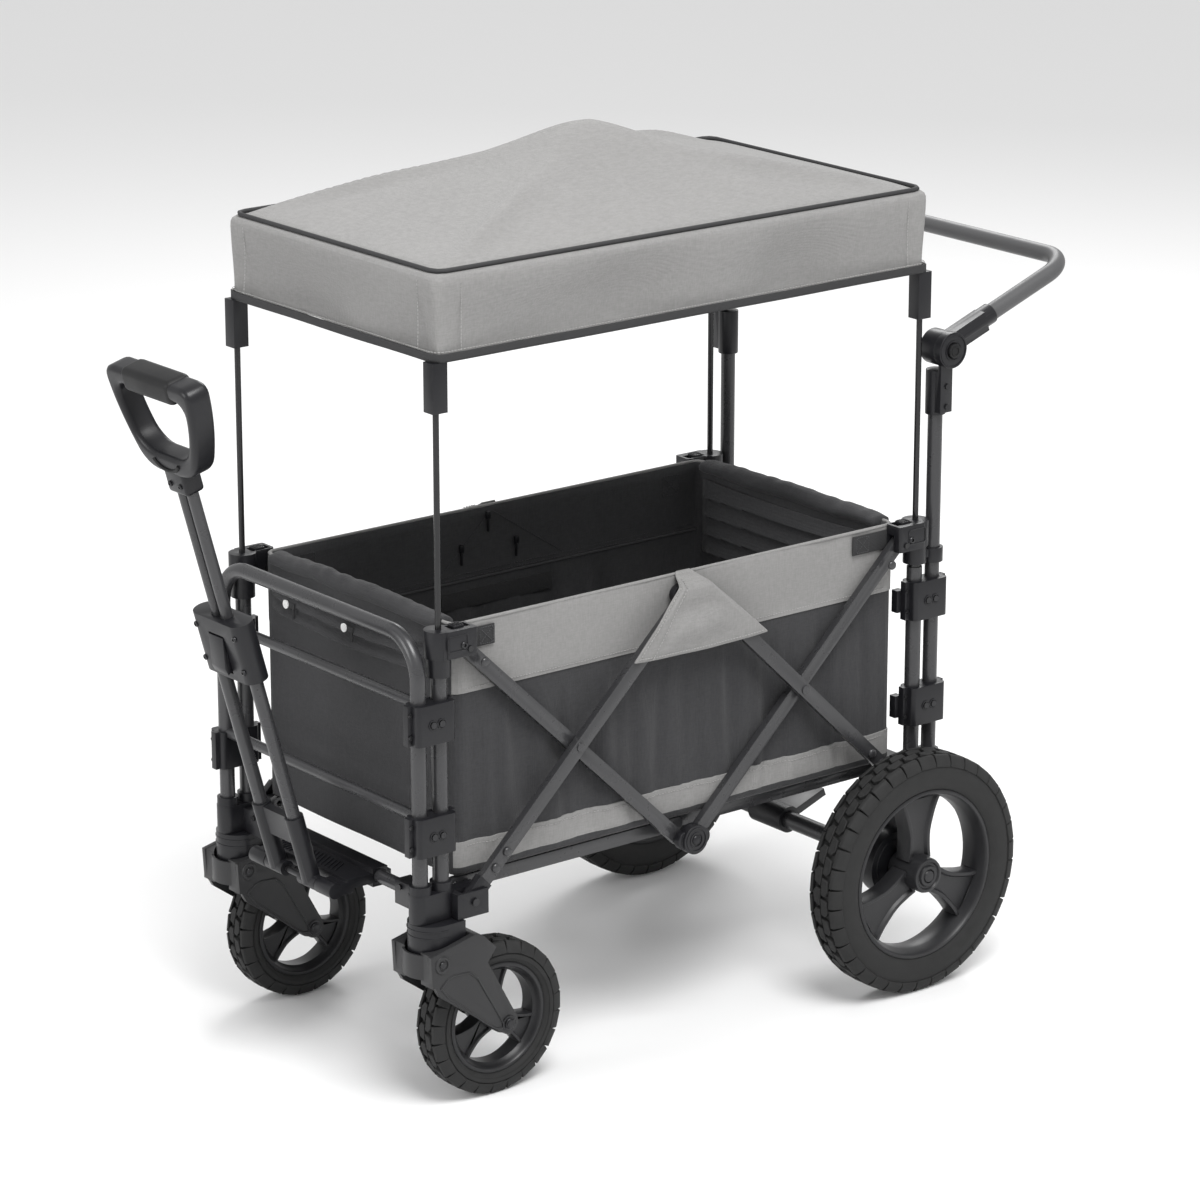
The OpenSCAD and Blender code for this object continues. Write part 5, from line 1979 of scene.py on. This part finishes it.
@dataclass
class CornerHardware:
    """Moulded clamps, corner blocks, latches, drums and the front footplate, with their screws."""

    edge: float = 0.0018
    socket_top: float = 0.8772

    def shells(self) -> None:
        """Soften the plain mouldings."""
        for node, body, edge in (
            ("front_clamps", "front_end", 0.0022), ("rear_clamps", "rear_end", 0.0022),
            ("front_bottom_brackets", "front_end", 0.0020), ("rear_bottom_brackets", "rear_end", 0.0020),
            ("brake_drums", "rear_end", 0.0020), ("brake_pedal", "brake_pedal", 0.0020),
            ("push_hinge_bases", "rear_end", 0.0016),
        ):
            Form().copied(node, edge, 3).piece(f"{node}_shells", body, [BLACK_NYLON], [node])
        dressed(SCREW_BLACK, "front_fasteners", "rear_fasteners")

    def top_blocks(self) -> None:
        """The corner blocks with an outlined recess, a screw, and the ribbed latch on top."""
        for end in End:
            node = f"{end.word}_top_brackets"
            low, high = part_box(node)
            body = f"{end.word}_top_corners"
            form = Form().copied(node, self.edge, 3).cut_above(self.socket_top)
            for side in Side:
                face = side.value * 0.2125
                corners = rounded_rectangle(0.0135, 0.0090, 0.0030, 4)
                path = [(end.value * 0.3440 + a, face, 0.5545 + b) for a, b in along_loop(corners, 56)]
                form.swept(path, 0.0009, 6, up=(0, 1, 0), closed=True)
            form.piece(f"{node}_shells", body, [BLACK_NYLON], [node])
            screws = Form()
            for side in Side:
                spot = (end.value * 0.3355, side.value * 0.2127, 0.5505)
                screws.faced(screw_profile(0.0042, 0.0018), side.value, spot, 24)
            screws.piece(f"{end.word}_corner_screws", body, [SCREW_BLACK])
            latch = f"{end.word}_latches"
            ribs = Form().copied(latch, 0.0008, 2)
            low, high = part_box(latch)
            for side in Side:
                for i in range(4):
                    x = low.x + 0.0022 + i * (high.x - low.x - 0.0044) / 3
                    y = side.value * (abs(high.y) - 0.0065)
                    ribs.block(
                        (x - 0.0007, y - 0.0052, high.z - 0.0006), (x + 0.0007, y + 0.0052, high.z + 0.0009), 0.0004,
                    )
            ribs.piece(f"{latch}_ribbed", latch, [BLACK_NYLON], [latch])

    def footplate(self) -> None:
        """The step between the casters, grooved in the middle and ribbed on one side."""
        form = Form().copied("footplate", 0.0018, 3)
        top = 0.2502
        for i in range(9):
            y = -0.040 + i * 0.007
            place = Matrix.Translation((-0.389, y, top)) @ Matrix.Rotation(math.radians(32), 4, "Z")
            form.block((-0.0150, -0.0009, -0.001), (0.0120, 0.0009, 0.0008), 0.0004, 1, place)
        for i in range(6):
            y = 0.042 + i * 0.0062
            form.block((-0.404, y - 0.0010, top - 0.001), (-0.376, y + 0.0010, top + 0.0010), 0.0004, 1)
        form.piece("footplate_shell", "front_end", [BLACK_NYLON], ["footplate"])

    def clamp_rings(self) -> None:
        """Rims round the countersunk screws of the clamps."""
        rim = ((0.0046, -0.001), (0.0048, 0.0010), (0.0060, 0.0010), (0.0064, -0.001))
        for end, body, levels in (
            (End.FRONT, "front_end", (0.332, 0.4645)), (End.REAR, "rear_end", (0.335, 0.469)),
        ):
            form = Form()
            for side in Side:
                for z in levels:
                    for x in (0.3659, 0.3779):
                        form.faced(rim, side.value, (end.value * x, side.value * 0.210, z), 28, ring=True)
            form.piece(f"{end.word}_clamp_rims", body, [BLACK_NYLON])

    def build(self) -> None:
        """Make all the mouldings of the corners."""
        self.shells()
        self.top_blocks()
        self.footplate()
        self.clamp_rings()


@dataclass
class DrawHandle:
    """The telescopic pull handle with its latch block, lever and D grip."""

    lean: float = math.radians(15.5)
    pivot: Point = (-0.424, 0.0, 0.240)

    @property
    def place(self) -> Matrix:
        """Where the handle's own upright frame stands."""
        return Matrix.Translation(self.pivot) @ Matrix.Rotation(-self.lean, 4, "Y")

    def fittings(self) -> None:
        """The foot, latch block and lever, with screws and a ribbed lever."""
        foot = Form().copied("draw_fittings", 0.0022, 3)
        foot.piece("draw_fittings_shell", "draw_handle", [BLACK_NYLON], ["draw_fittings"])
        lever = Form().copied("release_lever", 0.0010, 2)
        lever.piece("release_lever_shell", "release_lever", [BLACK_NYLON], ["release_lever"])
        screws = Form()
        head = [(r, -a) for r, a in screw_profile(0.0036, 0.0016)]
        for y in (-0.038, 0.038):
            for z in (0.284, 0.327):
                screws.joined(Form().turned(head, Across.X, (-0.0152, y, z), steps=20), self.place)
        screws.piece("latch_block_screws", "draw_handle", [SCREW_BLACK])

    def loop(self, narrow: float, wide: float, low: float, high: float, count: int = 96) -> list[tuple[float, float]]:
        """A closed D outline, wide at the top and narrow at the neck.

        Args:
            narrow: Half its width at the bottom.
            wide: Half its width at the top.
            low: Height of its lower edge.
            high: Height of its upper edge.
            count: How many points.

        Returns:
            Places across the handle and heights along it.
        """
        round_top, round_low = 0.015, 0.020
        side = []
        for i in range(61):
            share = i / 60
            z = low + (high - low) * share
            y = narrow + (wide - narrow) * math.sin(share * math.pi / 2) ** 0.85
            y -= round_top * (1 - math.sqrt(1 - max(0.0, 1 - (high - z) / round_top) ** 2))
            y -= round_low * (1 - math.sqrt(1 - max(0.0, 1 - (z - low) / round_low) ** 2))
            side.append((y, z))
        return along_loop([*side, *[(-y, z) for y, z in reversed(side)]], count)

    def grip(self) -> None:
        """The D-shaped grip with a soft pad, a plain crescent ridge and neck screws."""
        neck, half_depth = 0.500, 0.0158
        outer = self.loop(0.044, 0.084, neck + 0.026, neck + 0.146)
        inner = self.loop(0.041, 0.0665, neck + 0.049, neck + 0.1255)
        part = bmesh.new()
        for loop in (outer, inner):
            made = bmesh.ops.create_circle(part, cap_ends=False, radius=1.0, segments=len(loop))
            for vert, (y, z) in zip(made["verts"], loop):
                vert.co = (-half_depth, y, z)
        bmesh.ops.bridge_loops(part, edges=list(part.edges))
        made = bmesh.ops.extrude_face_region(part, geom=list(part.faces))
        far = [g for g in made["geom"] if isinstance(g, bmesh.types.BMVert)]
        bmesh.ops.translate(part, vec=(2 * half_depth, 0, 0), verts=far)
        form = Form().add(part, 0.0078, 5, self.place, 50)
        form.block((-0.0125, -0.0190, neck), (0.0125, 0.0190, neck + 0.043), 0.0042, 3, self.place)
        form.piece("grip_frame_shell", "draw_grip", [BLACK_NYLON], ["grip_frame"], smooth=40)
        pad = Form().block((-0.0172, -0.0490, neck + 0.1195), (0.0172, 0.0490, neck + 0.1490), 0.0085, 5, self.place)
        pad.piece("grip_soft_pad", "draw_grip", [SOFT_TOUCH], ["grip_pad"], smooth=40)
        trim = Form()
        for sign in (-1, 1):
            path = [
                (sign * 0.0162, 0.026 * math.sin(math.radians(a)), 0.548 - 0.016 * math.cos(math.radians(a)))
                for a in range(-70, 71, 10)
            ]
            trim.joined(Form().swept(path, 0.0022, 10, up=(1, 0, 0)), self.place)
        trim.piece("grip_crescent_ridge", "draw_grip", [SOFT_TOUCH])
        screws = Form()
        head = [(r, -a) for r, a in screw_profile(0.0034, 0.0016)]
        for y in (-0.010, 0.010):
            screws.joined(Form().turned(head, Across.X, (-0.0132, y, neck + 0.012), steps=20), self.place)
        screws.piece("grip_neck_screws", "draw_grip", [SCREW_BLACK])

    def build(self) -> None:
        """Make the handle."""
        self.fittings()
        self.grip()


@dataclass
class PushHandle:
    """The tilting push bar, its hinge arms and the release buttons."""

    hinge_x: float = 0.391
    hinge_z: float = 0.777
    hinge_face: float = 0.218

    def build(self) -> None:
        """Make the bar and the hinges."""
        dressed(BAR_COAT, "push_bar")
        arms = Form().copied("push_hinge_arms", 0.0018, 3)
        arms.piece("push_hinge_arm_shells", "push_handle", [BLACK_NYLON], ["push_hinge_arms"])
        for side in Side:
            node = f"{side.word}_release_button"
            low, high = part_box(node)
            form = Form().copied(node, 0.0010, 2)
            face = low.y if side is Side.LEFT else high.y
            ring = [(0.0045, -0.001), (0.0048, 0.0006), (0.0060, 0.0006), (0.0063, -0.001)]
            form.faced(ring, side.value, (self.hinge_x, face, self.hinge_z), 28, ring=True)
            form.piece(f"{node}_cap", node, [SOFT_TOUCH], [node])
        rings = Form()
        for side in Side:
            for radius in (0.0118, 0.0196):
                spot = (self.hinge_x, side.value * self.hinge_face, self.hinge_z)
                rings.faced(raised_ring(radius, 0.0010, 0.0006, 0.001, 0.0008), side.value, spot, 40, ring=True)
        rings.piece("push_hinge_rings", "rear_end", [BLACK_NYLON])


# ---------- studio ----------


@dataclass
class Studio:
    """Camera, pale floor and soft lights."""

    eye: Point = (-3.23560, -4.11098, 2.09146)
    target: Point = (0.09622, 0.08849, 0.44872)
    lens: float = 137.30

    def camera(self) -> None:
        """Stand the camera where it sees the wagon's front left corner."""
        data = bpy.data.cameras.new("view")
        data.lens = self.lens
        data.sensor_width = 36.0
        data.clip_end = 100.0
        made = bpy.data.objects.new("view", data)
        aim = Vector(self.target) - Vector(self.eye)
        made.location = self.eye
        made.rotation_euler = aim.to_track_quat("-Z", "Y").to_euler()
        bpy.context.scene.collection.objects.link(made)
        bpy.context.scene.camera = made

    def floor(self) -> None:
        """Lay a wide pale floor."""
        part = bmesh.new()
        bmesh.ops.create_grid(part, x_segments=1, y_segments=1, size=20)
        mesh = bpy.data.meshes.new("studio_floor")
        part.to_mesh(mesh)
        part.free()
        paint = bpy.data.materials.new("studio_white")
        paint.use_nodes = True
        shader = paint.node_tree.nodes["Principled BSDF"]
        shader.inputs["Base Color"].default_value = (0.86, 0.86, 0.86, 1)
        shader.inputs["Roughness"].default_value = 0.9
        mesh.materials.append(paint)
        made = bpy.data.objects.new("studio_floor", mesh)
        made.location.z = -0.0005
        bpy.context.scene.collection.objects.link(made)

    def light(self, name: str, at: Point, size: float, power: float) -> None:
        """Hang a soft area light aimed at the wagon.

        Args:
            name: The light's name.
            at: Where it hangs.
            size: Its side in metres.
            power: Its power in watts.
        """
        data = bpy.data.lights.new(name, "AREA")
        data.shape = "SQUARE"
        data.size = size
        data.energy = power
        made = bpy.data.objects.new(name, data)
        made.location = at
        made.rotation_euler = (Vector((0, 0, 0.5)) - Vector(at)).to_track_quat("-Z", "Y").to_euler()
        bpy.context.scene.collection.objects.link(made)

    def build(self) -> None:
        """Set everything up."""
        self.camera()
        self.floor()
        world = bpy.data.worlds.new("studio")
        world.use_nodes = True
        sky = world.node_tree.nodes["Background"]
        sky.inputs["Color"].default_value = (1.0, 1.0, 1.0, 1)
        sky.inputs["Strength"].default_value = 0.78
        bpy.context.scene.world = world
        bpy.context.scene.view_settings.view_transform = "Standard"
        self.light("key", (-0.6, -1.9, 3.6), 1.8, 125)
        self.light("fill", (-3.4, 0.4, 1.6), 1.4, 34)
        self.light("back", (2.4, 2.2, 3.0), 1.6, 60)


def main() -> None:
    """Load the frame and build the wagon piece by piece."""
    logging.basicConfig(level=logging.INFO, format="%(message)s")
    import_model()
    Studio().build()
    SteelFrame().build()
    CornerHardware().build()
    for side in Side:
        Caster(side).build()
        Wheel(f"{side.word}_rear", f"{side.word}_rear_wheel", REAR_WHEEL).build()
    DrawHandle().build()
    PushHandle().build()
    BasketBag().build()
    CanopyCover().build()
    LOG.info("size written")


if __name__ == "__main__":
    main()
